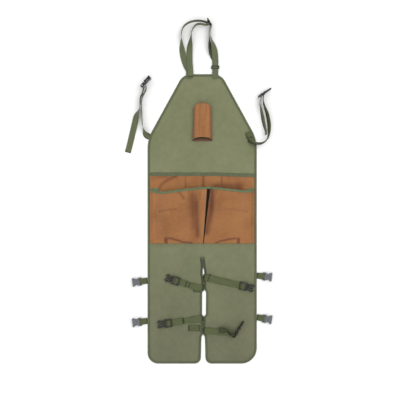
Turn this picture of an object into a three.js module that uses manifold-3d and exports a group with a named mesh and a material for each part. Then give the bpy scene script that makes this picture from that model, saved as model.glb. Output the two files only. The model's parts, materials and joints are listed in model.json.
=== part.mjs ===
// Split-leg welding apron: canvas bib and leg panels with bound edges, leather pockets, a neck
// strap, a pair of waist straps and four leg straps that close with side-release buckles.
//
// The apron lies flat on its back, front face up. X runs across it, Y from hem to neck, Z off
// the front face. The origin is on the back face, on the centre line, at the middle of the
// pocket section. Millimetres.

import * as THREE from "three";
import { mergeVertices } from "three/addons/utils/BufferGeometryUtils.js";
import Module from "manifold-3d";

const wasm = await Module();
wasm.setup();

// ---- driving dimensions ----

const GAP = 0.3; // between two pieces that touch
const CLOTH = 1.8; // canvas and its lining
const LEATHER = 1.5;
const WEB_WIDTH = 25;
const WEB = 1.5;

const BODY_HALF = 225; // half the width of the apron
const BIB_TOP_Y = 556;
const BIB_TOP_HALF = 78; // where the top edge would meet the sloping side
const BIB_TOP_RADIUS = 55;
const SHOULDER_Y = 288; // where the sloping side meets the straight one
const SHOULDER_RADIUS = 156;
const BIB_FOLD_Y = 160; // the bib folds down along this line
const LEG_FOLD_Y = -200; // each leg panel folds up along this line, at the top of the slit
const HEM_Y = -638;
const HEM_OUTER_RADIUS = 50;
const HEM_INNER_RADIUS = 25;
const SLIT_HALF = 8.5;

const BINDING_WIDTH = 9; // how far the edge tape reaches over the front
const BINDING_SKIN = 0.9;
const BINDING_TOP = CLOTH + GAP + BINDING_SKIN;

const POCKET_HALF = BODY_HALF - BINDING_WIDTH - 1; // both pocket layers end inside the side bindings
const POCKET_BOTTOM_Y = -144;
const TOOL_POCKET_TOP_Y = 142;
const TOOL_SLOTS = 6;
const TOOL_SLOT_RISE = 2.2; // the slots lie nearly flat when empty
const POUCH_RISE = 30; // how far each front pocket stands open
const POUCH_BASE = CLOTH + LEATHER + 3 * GAP;

const CHEST_POCKET = { bottom: 279, top: 434, bottomHalf: 42, topHalf: 38, rise: 31 };
const CHEST_GUSSET_INSET = 7;

const BUCKLE_HALF = 16.5; // half the width of every buckle
const SLOT_HALF = 13.3; // half the width of its webbing slots
const LADDER = { length: 27, endBar: 4, midBar: 13, midWidth: 3, low: 4, high: 7.6 };
const RECEIVER_LENGTH = 38;
const RECEIVER_HEIGHT = 11;
const SOCKET_DEPTH = 27;
const MALE_BLOCK = 7;
const TONGUE = 24;
const BAR_RADIUS = 2;

const ARC_STEP = THREE.MathUtils.degToRad(11);
const WEB_STEPS = 2; // sections between two points of a strap's route

// ---- materials ----

const finish = (color, roughness) => new THREE.MeshStandardMaterial({ color, roughness, metalness: 0 });
const canvas = finish(0x84876a, 0.85);
const tape = finish(0x6d7a5c, 0.8);
const leather = finish(0xa1724a, 0.6);
const webbing = finish(0x70745a, 0.8);
const plastic = finish(0x2b2c2e, 0.35);

const apron = new THREE.Group();

function add(name, geometry, material, parent = apron) {
  const mesh = new THREE.Mesh(geometry, material);
  mesh.name = name;
  parent.add(mesh);
  return mesh;
}

// ---- solids ----

const vec = (x, y, z) => new THREE.Vector3(x, y, z);
const radians = THREE.MathUtils.degToRad;

// A geometry from vertices and triangles, turned so that its faces point out.
function closedGeometry(vertices, triangles) {
  let volume = 0;
  for (let i = 0; i < triangles.length; i += 3) {
    const [a, b, c] = [vertices[triangles[i]], vertices[triangles[i + 1]], vertices[triangles[i + 2]]];
    volume += a.dot(b.clone().cross(c));
  }
  const faces = volume < 0 ? triangles.slice().reverse() : triangles;
  return new THREE.BufferGeometry().setFromPoints(vertices).setIndex(faces);
}

// A solid through sections of equal point count, closed by its first and last section.
function sweptSolid(sections) {
  const count = sections[0].length;
  const triangles = [];
  for (let i = 0; i + 1 < sections.length; i++)
    for (let j = 0; j < count; j++) {
      const [a, b] = [i * count + j, i * count + ((j + 1) % count)];
      triangles.push(a, b, b + count, a, b + count, a + count);
    }
  const last = (sections.length - 1) * count;
  for (const [a, b, c] of capTriangles(sections[0])) triangles.push(c, b, a, a + last, b + last, c + last);
  return closedGeometry(sections.flat(), triangles);
}

// The triangles that fill a flat section.
function capTriangles(section) {
  const across = section[1].clone().sub(section[0]).normalize();
  const normal = vec(0, 0, 0);
  section.forEach((p, i) => normal.add(p.clone().cross(section[(i + 1) % section.length])));
  const up = normal.normalize().clone().cross(across);
  const flat = section.map((p) => new THREE.Vector2(p.dot(across), p.dot(up)));
  return THREE.ShapeUtils.triangulateShape(flat, []);
}

// A skin of even thickness over the surface (u, v) -> point, u and v from 0 to 1.
function skin(surface, columns, rows, thickness) {
  const vertices = [];
  const small = 1e-3;
  for (const side of [0, 1])
    for (let j = 0; j <= rows; j++)
      for (let i = 0; i <= columns; i++) {
        const [u, v] = [i / columns, j / rows];
        const along = surface(Math.min(1, u + small), v).sub(surface(Math.max(0, u - small), v));
        const up = surface(u, Math.min(1, v + small)).sub(surface(u, Math.max(0, v - small)));
        const normal = along.cross(up).normalize();
        vertices.push(surface(u, v).addScaledVector(normal, side * thickness));
      }
  const width = columns + 1;
  const layer = width * (rows + 1);
  const triangles = [];
  const quad = (a, b, c, d) => triangles.push(a, b, c, a, c, d);
  for (let j = 0; j < rows; j++)
    for (let i = 0; i < columns; i++) {
      const a = j * width + i;
      quad(a, a + width, a + width + 1, a + 1);
      quad(a + layer, a + layer + 1, a + layer + width + 1, a + layer + width);
    }
  for (let i = 0; i < columns; i++) {
    const top = rows * width + i;
    quad(i, i + 1, i + 1 + layer, i + layer);
    quad(top, top + layer, top + 1 + layer, top + 1);
  }
  for (let j = 0; j < rows; j++) {
    const [left, right] = [j * width, j * width + columns];
    quad(left, left + layer, left + width + layer, left + width);
    quad(right, right + width, right + width + layer, right + layer);
  }
  return closedGeometry(vertices, triangles);
}

function solidOf(geometry) {
  const bare = geometry.index ? geometry.toNonIndexed() : geometry;
  const merged = mergeVertices(new THREE.BufferGeometry().setAttribute("position", bare.attributes.position));
  const mesh = { numProp: 3, vertProperties: merged.attributes.position.array, triVerts: merged.index.array };
  return new wasm.Manifold(new wasm.Mesh(mesh));
}

function geometryOf(solid) {
  const mesh = solid.getMesh();
  return new THREE.BufferGeometry()
    .setAttribute("position", new THREE.BufferAttribute(mesh.vertProperties, 3))
    .setIndex(new THREE.BufferAttribute(mesh.triVerts, 1));
}

const union = (solids) => solids.reduce((all, next) => all.add(next));

function block([x0, x1], [y0, y1], [z0, z1]) {
  const box = new THREE.BoxGeometry(x1 - x0, y1 - y0, z1 - z0);
  return solidOf(box.translate((x0 + x1) / 2, (y0 + y1) / 2, (z0 + z1) / 2));
}

function plate(points, z0, z1) {
  const shape = new THREE.Shape(points);
  return new THREE.ExtrudeGeometry(shape, { depth: z1 - z0, bevelEnabled: false }).translate(0, 0, z0);
}

const halfOutline = (half) => [...half, ...half.slice().reverse().map(([x, y]) => [x, -y])];
const points2 = (pairs) => pairs.map(([x, y]) => new THREE.Vector2(x, y));

// ---- outlines ----

// A path through corners [x, y, radius], each rounded by its radius.
function roundedPath(corners) {
  const path = [];
  corners.forEach(([x, y, radius = 0], i) => {
    const corner = new THREE.Vector2(x, y);
    if (!radius) {
      path.push(corner);
      return;
    }
    const [before, after] = [corners[i - 1], corners[i + 1]].map(([a, b]) =>
      new THREE.Vector2(a, b).sub(corner).normalize(),
    );
    const half = Math.acos(before.dot(after)) / 2;
    const centre = before.clone().add(after).setLength(radius / Math.sin(half)).add(corner);
    const from = before.clone().multiplyScalar(radius / Math.tan(half)).add(corner).sub(centre);
    const turn = (Math.PI - 2 * half) * Math.sign(after.cross(before));
    const steps = Math.ceil(Math.abs(turn) / ARC_STEP);
    for (let k = 0; k <= steps; k++)
      path.push(from.clone().rotateAround(new THREE.Vector2(), (turn * k) / steps).add(centre));
  });
  return path;
}

// At each point of a path that runs anticlockwise round a panel, the way in, long enough to keep
// a parallel path parallel.
function inwardAt(path) {
  return path.map((point, i) => {
    const normals = [
      [i - 1, i],
      [i, i + 1],
    ]
      .filter(([a, b]) => a >= 0 && b < path.length)
      .map(([a, b]) => path[b].clone().sub(path[a]).normalize().rotateAround(new THREE.Vector2(), Math.PI / 2));
    const mean = normals.reduce((a, b) => a.clone().add(b)).normalize();
    return mean.divideScalar(mean.dot(normals[0]));
  });
}

function inset(path, distance) {
  const inward = inwardAt(path);
  return path.map((point, i) => point.clone().addScaledVector(inward[i], distance));
}

// Edge tape along a path: a wall outside the cloth's edge and a flange over its front.
function binding(path) {
  const lip = BINDING_SKIN;
  const section = [
    [0, 0],
    [lip, 0],
    [lip, CLOTH + GAP],
    [BINDING_WIDTH, CLOTH + GAP],
    [BINDING_WIDTH, BINDING_TOP],
    [0, BINDING_TOP],
  ];
  const inward = inwardAt(path);
  return sweptSolid(
    path.map((point, i) => section.map(([d, z]) => vec(point.x + inward[i].x * d, point.y + inward[i].y * d, z))),
  );
}

const panel = (path) => plate(inset(path, BINDING_SKIN + GAP), 0, CLOTH);

// ---- webbing ----

// Webbing along a route of [x, y, z, heading, roll]: its width points along heading (degrees from
// +X), and roll lifts that from flat, at 0, to standing on edge, at 90.
function strap(route) {
  const centre = new THREE.CatmullRomCurve3(route.map(([x, y, z]) => vec(x, y, z)), false, "catmullrom", 0.5);
  const spans = route.length - 1;
  const sections = [];
  for (let k = 0; k <= spans * WEB_STEPS; k++) {
    const place = k / WEB_STEPS;
    const span = Math.min(Math.floor(place), spans - 1);
    const [heading, roll] = [3, 4].map((n) =>
      radians(THREE.MathUtils.lerp(route[span][n], route[span + 1][n], place - span)),
    );
    const middle = centre.getPoint(place / spans);
    const tangent = centre.getTangent(place / spans);
    const across = vec(Math.cos(heading) * Math.cos(roll), Math.sin(heading) * Math.cos(roll), Math.sin(roll));
    across.addScaledVector(tangent, -across.dot(tangent)).normalize();
    const through = across.clone().cross(tangent);
    sections.push(
      [
        [-1, -1],
        [1, -1],
        [1, 1],
        [-1, 1],
      ].map(([w, t]) =>
        middle
          .clone()
          .addScaledVector(across, (w * WEB_WIDTH) / 2)
          .addScaledVector(through, (t * WEB) / 2),
      ),
    );
  }
  return sweptSolid(sections);
}

// A buckle lies at `at`, points along `turn` and is flat (stand 0) or on its edge (stand 1 or -1).
function placed({ at, turn, stand = 0 }) {
  const group = new THREE.Group();
  group.rotation.set((stand * Math.PI) / 2, 0, radians(turn), "ZYX");
  group.position.set(...at);
  apron.add(group);
  group.updateMatrixWorld(true);
  return group;
}

// The same webbing route in a buckle's own x and z, turned into route points.
function routeIn(place, pairs) {
  const group = placed(place);
  const points = pairs.map(([x, z]) => {
    const p = vec(x, 0, z).applyMatrix4(group.matrixWorld);
    return [p.x, p.y, p.z, place.turn + 90, place.stand ? 90 * place.stand : 0];
  });
  apron.remove(group);
  return points;
}

// How webbing threads a ladder lock: in under the end bar, round the middle bar and out again.
const THREADED = [
  [2, 0.95],
  [8, 0.95],
  [13.4, 1.3],
  [17.2, 3.4],
  [17.9, 6],
  [16.2, 8.5],
  [13.2, 8.6],
  [11.4, 6.2],
  [10.2, 3.7],
  [6.5, 2.85],
  [1.5, 2.85],
];

// ---- buckles ----

function ladderFrame(length = LADDER.length) {
  const height = [LADDER.low, LADDER.high];
  return [
    block([0, length], [SLOT_HALF, BUCKLE_HALF], height),
    block([0, length], [-BUCKLE_HALF, -SLOT_HALF], height),
    block([0, LADDER.endBar], [-BUCKLE_HALF, BUCKLE_HALF], height),
    block([LADDER.midBar, LADDER.midBar + LADDER.midWidth], [-BUCKLE_HALF, BUCKLE_HALF], [4.6, 7.1]),
  ];
}

// The insert half without its two spring arms.
function maleBody() {
  const start = LADDER.length;
  const end = start + MALE_BLOCK;
  const shoulder = halfOutline([
    [start - 0.5, BUCKLE_HALF],
    [end - 3, BUCKLE_HALF],
    [end, 12.5],
  ]);
  const tongue = halfOutline([
    [end - 0.5, 3.4],
    [end + TONGUE - 3, 3],
    [end + TONGUE, 1.5],
  ]);
  return geometryOf(
    union([
      ...ladderFrame(start),
      solidOf(plate(points2(shoulder), 1, 9.6)),
      solidOf(plate(points2(tongue), 3.4, 7.6)),
    ]),
  );
}

// One spring arm; side is 1 or -1. Its root is where it bends.
const ARM_ROOT_X = LADDER.length + MALE_BLOCK + 2 * GAP;
function springArm(side) {
  const outline = [
    [0, 8.2],
    [0, 12],
    [11, 12.8],
    [14, 16.2],
    [21, 15.4],
    [27, 10],
    [28.5, 7.2],
    [24, 7],
    [16, 9.4],
  ].map(([x, y]) => [ARM_ROOT_X + x, side * y]);
  return plate(points2(side > 0 ? outline.reverse() : outline), 3, 8);
}

// The receiver's body from its webbing end to its mouth: a waisted box with a socket that breaks
// out at the waist, where the spring arms are pressed.
function socketBody(start) {
  const outline = halfOutline(
    [
      [0, BUCKLE_HALF],
      [4, BUCKLE_HALF],
      [11, 12],
      [16, 11.6],
      [22, 15.6],
      [25, 17.6],
      [30, 17.6],
    ].map(([x, y]) => [start + x, y]),
  );
  const mouth = start + 30;
  const socket = block([mouth - SOCKET_DEPTH, mouth + 5], [-14.6, 14.6], [2.2, 8.8]);
  return solidOf(plate(points2(outline), 0, RECEIVER_HEIGHT)).subtract(socket);
}

// The sewn-on receiver: two lugs hold a round bar that the webbing goes round.
function barReceiver() {
  const lugs = [-1, 1].map((side) => {
    const [a, b] = [side * SLOT_HALF, side * BUCKLE_HALF].sort((p, q) => p - q);
    return block([0, 9], [a, b], [3, 8]);
  });
  const bar = new THREE.CylinderGeometry(BAR_RADIUS, BAR_RADIUS, 2 * BUCKLE_HALF - 1, 12);
  bar.translate(BAR_RADIUS, 0, RECEIVER_HEIGHT / 2);
  return geometryOf(union([...lugs, solidOf(bar), socketBody(RECEIVER_LENGTH - 30)]));
}

const ladderReceiver = () => geometryOf(union([...ladderFrame(25), socketBody(24)]));

function addMale(name, place) {
  const group = placed(place);
  add(`${name}_insert`, maleBody(), plastic, group);
  add(`${name}_arm_a`, springArm(1), plastic, group);
  add(`${name}_arm_b`, springArm(-1), plastic, group);
}

// ---- panels and edge tape ----

const bibEdge = roundedPath([
  [BODY_HALF, BIB_FOLD_Y + GAP],
  [BODY_HALF, SHOULDER_Y, SHOULDER_RADIUS],
  [BIB_TOP_HALF, BIB_TOP_Y, BIB_TOP_RADIUS],
  [-BIB_TOP_HALF, BIB_TOP_Y, BIB_TOP_RADIUS],
  [-BODY_HALF, SHOULDER_Y, SHOULDER_RADIUS],
  [-BODY_HALF, BIB_FOLD_Y + GAP],
]);
const sideEdges = {
  right: roundedPath([
    [BODY_HALF, LEG_FOLD_Y],
    [BODY_HALF, BIB_FOLD_Y],
  ]),
  left: roundedPath([
    [-BODY_HALF, BIB_FOLD_Y],
    [-BODY_HALF, LEG_FOLD_Y],
  ]),
};
const legEdges = {
  left: roundedPath([
    [-BODY_HALF, LEG_FOLD_Y - GAP],
    [-BODY_HALF, HEM_Y, HEM_OUTER_RADIUS],
    [-SLIT_HALF, HEM_Y, HEM_INNER_RADIUS],
    [-SLIT_HALF, LEG_FOLD_Y - GAP],
  ]),
  right: roundedPath([
    [SLIT_HALF, LEG_FOLD_Y - GAP],
    [SLIT_HALF, HEM_Y, HEM_INNER_RADIUS],
    [BODY_HALF, HEM_Y, HEM_OUTER_RADIUS],
    [BODY_HALF, LEG_FOLD_Y - GAP],
  ]),
};

add("bib_panel", panel(bibEdge), canvas);
add("bib_binding", binding(bibEdge), tape);
for (const [side, edge] of Object.entries(sideEdges)) add(`side_binding_${side}`, binding(edge), tape);
for (const [side, edge] of Object.entries(legEdges)) {
  add(`leg_panel_${side}`, panel(edge), canvas);
  add(`leg_binding_${side}`, binding(edge), tape);
}

const bodyInside = BODY_HALF - BINDING_SKIN - GAP;
const rectangle = (half, y0, y1) =>
  points2([
    [-half, y0],
    [half, y0],
    [half, y1],
    [-half, y1],
  ]);
add("waist_panel", plate(rectangle(bodyInside, POCKET_BOTTOM_Y, BIB_FOLD_Y), 0, CLOTH), canvas);
add("hip_panel", plate(rectangle(bodyInside, LEG_FOLD_Y, POCKET_BOTTOM_Y - GAP), 0, CLOTH), canvas);

// ---- pockets ----

const TOOL_BASE = CLOTH + GAP;

// Tool slots: one leather layer sewn down between slots and along the bottom, open at the top.
function toolPocketSurface(u, v) {
  const open = Math.min(1, v / 0.3);
  const arch = Math.abs(Math.sin(Math.PI * TOOL_SLOTS * u));
  const rise = TOOL_SLOT_RISE * arch * open * open * (3 - 2 * open);
  const x = THREE.MathUtils.lerp(-POCKET_HALF, POCKET_HALF, u);
  return vec(x, THREE.MathUtils.lerp(POCKET_BOTTOM_Y + 2, TOOL_POCKET_TOP_Y, v), TOOL_BASE + rise);
}
add("tool_pocket_layer", skin(toolPocketSurface, TOOL_SLOTS * 4, 4, LEATHER), leather);

// The tape over the top edge of the tool slots follows the same arches.
function toolTapeSurface(u, v) {
  const point = toolPocketSurface(u, 1);
  point.y += GAP + v * BINDING_WIDTH;
  return point;
}
add("tool_pocket_binding", skin(toolTapeSurface, TOOL_SLOTS * 4, 1, LEATHER), tape);

// A front pocket bulges between its sewn sides and stands open along its top edge, which sags.
const POUCH_TOP_CENTRE = 91;
const POUCH_TOP_SIDE = 82;
const POUCH_SAG = 15;
function pouchSurface(side, u, v) {
  const [inner, outer] = [1.5, POCKET_HALF];
  const x = THREE.MathUtils.lerp(inner, outer, u);
  const edge = THREE.MathUtils.lerp(POUCH_TOP_CENTRE, POUCH_TOP_SIDE, u);
  const top = edge - POUCH_SAG * Math.sin(Math.PI * u) ** 2 * (0.4 + 0.6 * u);
  const rise = POUCH_RISE * Math.sin(Math.PI * u) ** 0.9 * (1 - (1 - v) ** 3);
  const y = THREE.MathUtils.lerp(POCKET_BOTTOM_Y + 2, top, v);
  return vec(side * x, y, POUCH_BASE + rise);
}
for (const [name, side] of [["left", -1], ["right", 1]]) {
  const along = (u) => (side > 0 ? u : 1 - u);
  const surface = (u, v) => pouchSurface(side, along(u), v);
  const tapeSurface = (u, v) => {
    const point = surface(u, 1);
    point.y += GAP + v * BINDING_WIDTH;
    return point;
  };
  add(`front_pocket_${name}`, skin(surface, 12, 6, LEATHER), leather);
  add(`front_pocket_binding_${name}`, skin(tapeSurface, 12, 1, LEATHER), tape);
}

// The chest pocket is a half tube sewn down along both sides.
function chestSurface(u, v) {
  const { bottom, top, bottomHalf, topHalf, rise } = CHEST_POCKET;
  const angle = Math.PI * (1 - u);
  const half = THREE.MathUtils.lerp(bottomHalf, topHalf, v) - LEATHER;
  const z = CLOTH + GAP + rise * Math.sin(angle) ** 0.8;
  return vec(half * Math.cos(angle), THREE.MathUtils.lerp(bottom, top, v), z);
}
add("chest_pocket", skin(chestSurface, 14, 2, LEATHER), leather);
function chestGusset() {
  const y = CHEST_POCKET.bottom + CHEST_GUSSET_INSET;
  const section = [];
  for (let i = 0; i <= 14; i++) {
    const p = chestSurface(i / 14, CHEST_GUSSET_INSET / (CHEST_POCKET.top - CHEST_POCKET.bottom));
    const shrink = 1 - 1.2 / 34;
    section.push(vec(p.x * shrink, 0, TOOL_BASE + (p.z - TOOL_BASE) * shrink));
  }
  return sweptSolid([y, y + LEATHER].map((at) => section.map((p) => vec(p.x, at, p.z))));
}
add("chest_pocket_gusset", chestGusset(), leather);

// ---- leg receivers on short stubs ----

const BAR_Z = RECEIVER_HEIGHT / 2;
const STUB_LENGTH = 23;
const stubs = {
  left_upper: { y: -296, side: -1, turn: 187 },
  left_lower: { y: -462, side: -1, turn: 187 },
  right_upper: { y: -275, side: 1, turn: -6 },
  right_lower: { y: -447, side: 1, turn: -10 },
};
for (const [name, { y, side, turn }] of Object.entries(stubs)) {
  const edge = BODY_HALF + 1.2;
  const loop = BAR_RADIUS + GAP + WEB / 2 + 0.1;
  const lean = Math.tan(radians(side > 0 ? turn : turn - 180)) * side;
  const barX = edge + STUB_LENGTH + BAR_RADIUS;
  const swing = side > 0 ? turn : turn - 180;
  const heading = (x) => side * 90 + swing * THREE.MathUtils.clamp((x - edge - 1) / 10, 0, 1);
  const leaning = (x) => {
    const run = x - edge + 2.5;
    return y + lean * (run < 10 ? (run * run) / 20 : run - 5);
  };
  const at = (x, z) => [side * x, leaning(x), z, heading(x), 0];
  const route = [
    [edge, 1.05],
    [edge + 2.5, 1.05],
    [edge + 7, 1.1],
    [barX - 7, BAR_Z - loop],
    [barX, BAR_Z - loop],
    [barX + loop * 0.72, BAR_Z - loop * 0.72],
    [barX + loop, BAR_Z],
    [barX + loop * 0.72, BAR_Z + loop * 0.72],
    [barX, BAR_Z + loop],
    [barX - 4.5, BAR_Z + loop * 0.6],
    [edge + 9, 4.0],
    [edge + 2.5, 3.1],
    [edge, 2.9],
  ].map(([x, z]) => at(x, z));
  add(`stub_${name}`, strap(route), webbing);
  const group = placed({ at: [side * (edge + STUB_LENGTH), leaning(edge + STUB_LENGTH), 0], turn });
  add(`receiver_${name}`, barReceiver(), plastic, group);
}

// ---- leg straps ----

// Each leg strap comes up through the slit beside the leg's edge tape, folds over its own sewn
// tab and lies across the front of the leg to its buckle, where the spare end turns back.
const LYING_Z = CLOTH + GAP + 0.95; // the middle of a strap that lies on the leg
const TAB_Z = BINDING_TOP + GAP + WEB / 2;
const OVER_TAB = 4.9; // how much higher the strap runs where it passes over its tab
const TAIL_OVER = 2; // the spare end above the strap
const SLIT_WALL_X = SLIT_HALF - GAP - WEB / 2; // the strap against the edge tape inside the slit
const HINGE_Z = 0.9;

function strapHeight(distance) {
  const share = THREE.MathUtils.clamp((58 - distance) / 30, 0, 1);
  return LYING_Z + OVER_TAB * share * share * (3 - 2 * share);
}

const legStraps = {
  left_upper: { side: -1, y: -331, turn: 162, reach: 98, tail: 52, tabY: -331, tabLength: 36 },
  left_lower: { side: -1, y: -451, turn: 188, reach: 125, tail: 46, tabY: -491, tabLength: 57 },
  right_upper: { side: 1, y: -279, turn: -13, reach: 157, tail: 140, tabY: -281, tabLength: 36 },
};

const slitTurn = (side, y, slope = 0) =>
  [
    [SLIT_WALL_X, HINGE_Z],
    [SLIT_WALL_X, 3],
    [SLIT_HALF + 0.2, 6.4],
    [SLIT_HALF + 3.8, 8],
  ].map(([x, z]) => [side * x, y + slope * (SLIT_HALF + 4 + (x - SLIT_HALF + 3) ** 2 / 28), z, side * 90, 0]);

function addTab(name, side, y, length) {
  const route = [length, SLIT_HALF + 12, SLIT_HALF + 1.2].map((x) => [side * x, y, TAB_Z, side * 90, 0]);
  add(`strap_tab_${name}`, strap(route), webbing);
}

for (const [name, { side, y, turn, reach, tail, tabY, tabLength }] of Object.entries(legStraps)) {
  const heading = side > 0 ? turn + 90 : turn - 270;
  const [cos, sin] = [Math.cos(radians(turn)), Math.sin(radians(turn))];
  const along = (d, z) => [d * cos, y + d * sin, z, heading, 0];
  const place = { at: along(reach, CLOTH + GAP).slice(0, 3), turn };
  const slope = side * Math.tan(radians(turn));
  const lying = [22, 33, 45, 58].map((d) => along(d, strapHeight(d)));
  const approach = [along((reach + 50) / 2, LYING_Z), along(reach - 12, LYING_Z)];
  const threaded = routeIn(place, THREADED).map((point) => [...point.slice(0, 3), heading, 0]);
  const spare = [];
  const spareSteps = Math.ceil((tail - 14) / 20);
  for (let k = 0; k <= spareSteps; k++) {
    const d = reach - THREE.MathUtils.lerp(14, tail, k / spareSteps);
    spare.push(along(d, strapHeight(d) + TAIL_OVER));
  }
  add(`leg_strap_${name}`, strap([...slitTurn(side, y, slope), ...lying, ...approach, ...threaded, ...spare]), webbing);
  addTab(name, side, tabY, tabLength);
  addMale(`leg_${name}`, place);
}

// The lower right strap lies in waves and turns on its edge at the buckle.
const STANDING_Z = 18; // the middle of a buckle that stands on its edge
const waveBuckle = { at: [141, -516, STANDING_Z + 1], turn: 58, stand: -1 };
const waveRoute = [
  ...slitTurn(1, -503),
  [20, -503, 7.9, 90, 0],
  [34, -503.5, 6.8, 90, 0],
  [50, -504, 4.6, 90, 0],
  [66, -505, 9, 90, 0],
  [80, -507, 12, 92, 8],
  [94, -511, 12, 98, 25],
  [108, -516, 14.6, 110, 55],
  [122, -522, 17.4, 125, 82],
  [133, -525, 18.6, 142, 90],
];
const waveTail = [
  [133, -518, 19, 145, 90],
  [122, -511, 19.4, 125, 78],
  [109, -504, 19.6, 108, 50],
  [96, -499, 19, 96, 22],
  [82, -497, 18.6, 91, 6],
  [70, -496, 16, 90, 0],
];
const onEdge = (place, heading) =>
  routeIn(place, THREADED).map(([x, y, z]) => [x, y, z, heading, 90]);
add("leg_strap_right_lower", strap([...waveRoute, ...onEdge(waveBuckle, 148), ...waveTail]), webbing);
addTab("right_lower", 1, -503, 36);
addMale("leg_right_lower", waveBuckle);

// ---- waist straps ----

// The left strap rises on its edge to the receiver and turns back down to its spare end.
const leftReceiver = { at: [-246.5, 497, STANDING_Z], turn: 47, stand: -1 };
const leftRise = [
  [-217.4, 298.2, 1.1, 70, 0],
  [-223.4, 300.4, 1.6, 68, 0],
  [-231, 306, 7, 48, 26],
  [-238, 317, 12.4, 24, 58],
  [-243, 334, 14.4, 8, 84],
  [-245.4, 352, 14.4, 2, 90],
  [-246.8, 372, 13.6, 0, 90],
  [-248, 405, 13.8, 0, 90],
  [-249, 434, 14.4, 0, 90],
  [-246, 456, 15.6, 0, 90],
  [-237.5, 474, 17, 0, 90],
  [-229.5, 491, 17.8, 0, 90],
];
const leftFall = [
  [-240.5, 493, 18, 0, 90],
  [-244, 476, 17.6, 0, 90],
  [-252.5, 458, 17.2, 0, 90],
  [-254.5, 436, 16.6, 0, 90],
  [-255.5, 418, 16.4, 10, 84],
  [-261, 403, 15.2, 20, 62],
  [-270, 384, 11.5, 20, 30],
  [-277.5, 352, 5.5, 14, 8],
  [-288, 310, 2, 15, 0],
  [-298, 268, 1.4, 14, 0],
  [-307, 233, 1.2, 14, 0],
];

// Slack webbing goes straight through a ladder lock's two slots and round its middle bar.
const SLACK_THREAD = [
  [19.2, -3],
  [19.2, 2],
  [18.6, 6],
  [16.4, 8.9],
  [13, 8.9],
  [10.8, 6],
  [10.2, 2],
  [10.2, -3],
];
function slackThrough(place, reversed = false) {
  const points = routeIn(place, SLACK_THREAD).map(([x, y, z]) => [x, y, z, 0, 90]);
  return reversed ? points.reverse() : points;
}
add("waist_strap_left", strap([...leftRise, ...slackThrough(leftReceiver), ...leftFall]), webbing);
add("waist_receiver", ladderReceiver(), plastic, placed(leftReceiver));

// The right strap starts on the front of the bib, curves round its edge and rises to the insert.
const rightInsert = { at: [233, 455, STANDING_Z], turn: 33, stand: -1 };
const rightRise = [
  [197.4, 290.1, TAB_Z + 0.4, 200, 0],
  [201, 282, 7.2, 210, 6],
  [208, 275.5, 13, 226, 32],
  [217, 271, 17, 246, 54],
  [228, 268.5, 17.6, 262, 60],
  [240, 269.5, 16.4, 280, 62],
  [254, 275, 15, 320, 72],
  [266, 285, 14, 350, 82],
  [272.5, 300, 13.8, 360, 78],
  [275, 324, 13.8, 360, 64],
  [274.5, 350, 14, 360, 58],
  [267.5, 388, 14.8, 360, 62],
  [256, 420, 16, 360, 80],
  [250.5, 442, 17.4, 360, 90],
];
const rightFall = [
  [239.5, 449, 18, 0, 90],
  [236.5, 434, 17.8, 0, 90],
  [239, 417, 17.2, 0, 84],
  [244, 397, 16.4, 0, 70],
  [249, 371, 15.4, 0, 62],
  [254.5, 345, 14.4, 0, 66],
  [261.5, 319, 14, 0, 78],
  [262, 304, 13.8, 0, 84],
];
add("waist_strap_right", strap([...rightRise, ...slackThrough(rightInsert), ...rightFall]), webbing);
const tabRoute = [
  [188, 318, TAB_Z, 198, 0],
  [192.3, 305, TAB_Z, 198, 0],
  [196.4, 292.2, TAB_Z, 198, 0],
];
add("waist_tab_right", strap(tabRoute), webbing);
addMale("waist", rightInsert);

// ---- neck strap ----

const NECK_X = 54; // where each end is sewn to the bib, left and right of the middle
const NECK_START_Y = BIB_TOP_Y + 0.8;
for (const [name, side] of [["left", -1], ["right", 1]])
  add(
    `neck_tab_${name}`,
    strap([BIB_TOP_Y - 18, BIB_TOP_Y - 6, BIB_TOP_Y + 0.2].map((y) => [side * NECK_X, y, TAB_Z, 0, 0])),
    webbing,
  );

// The left end rises to the adjuster at the top and its spare end comes back down beside it.
const adjuster = { at: [17, 775, STANDING_Z], turn: -62, stand: -1 };
const neckRise = [
  [-NECK_X, NECK_START_Y, TAB_Z, 0, 0],
  [-NECK_X, NECK_START_Y + 6, 4.3, 0, 0],
  [-56, 574, 4.4, 3, 0],
  [-66, 592, 4.2, 10, 3],
  [-76, 622, 4.4, 10, 6],
  [-82, 652, 7.4, 8, 20],
  [-85.5, 682, 12.4, -4, 60],
  [-86, 706, 14, -10, 88],
  [-84, 728, 14, -30, 90],
  [-76, 748, 14.6, -50, 90],
  [-58, 763, 15.4, -70, 90],
  [-32, 771, 16.4, -84, 90],
  [-8, 771.5, 17.4, -90, 90],
  [8, 768, 18, -90, 90],
];
const neckFall = [
  [13, 754.6, 18, -90, 90],
  [-2, 758, 17.6, -88, 90],
  [-20, 757, 17, -80, 90],
  [-35, 745, 16.2, -50, 90],
  [-43.5, 724, 15, -20, 88],
  [-47, 700, 13.4, 0, 66],
  [-50, 672, 9.6, 4, 28],
  [-52, 642, 7.6, 2, 6],
  [-52, 612, 7.6, 0, 0],
  [-50.5, 588, 7.8, 0, 0],
  [-49, 566, 8, 0, 0],
];
add("neck_strap_left", strap([...neckRise, ...slackThrough(adjuster, true), ...neckFall]), webbing);
const adjusterEnd = block([LADDER.length - 4, LADDER.length], [-BUCKLE_HALF, BUCKLE_HALF], [LADDER.low, LADDER.high]);
add("neck_adjuster", geometryOf(union([...ladderFrame(), adjusterEnd])), plastic, placed(adjuster));

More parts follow.
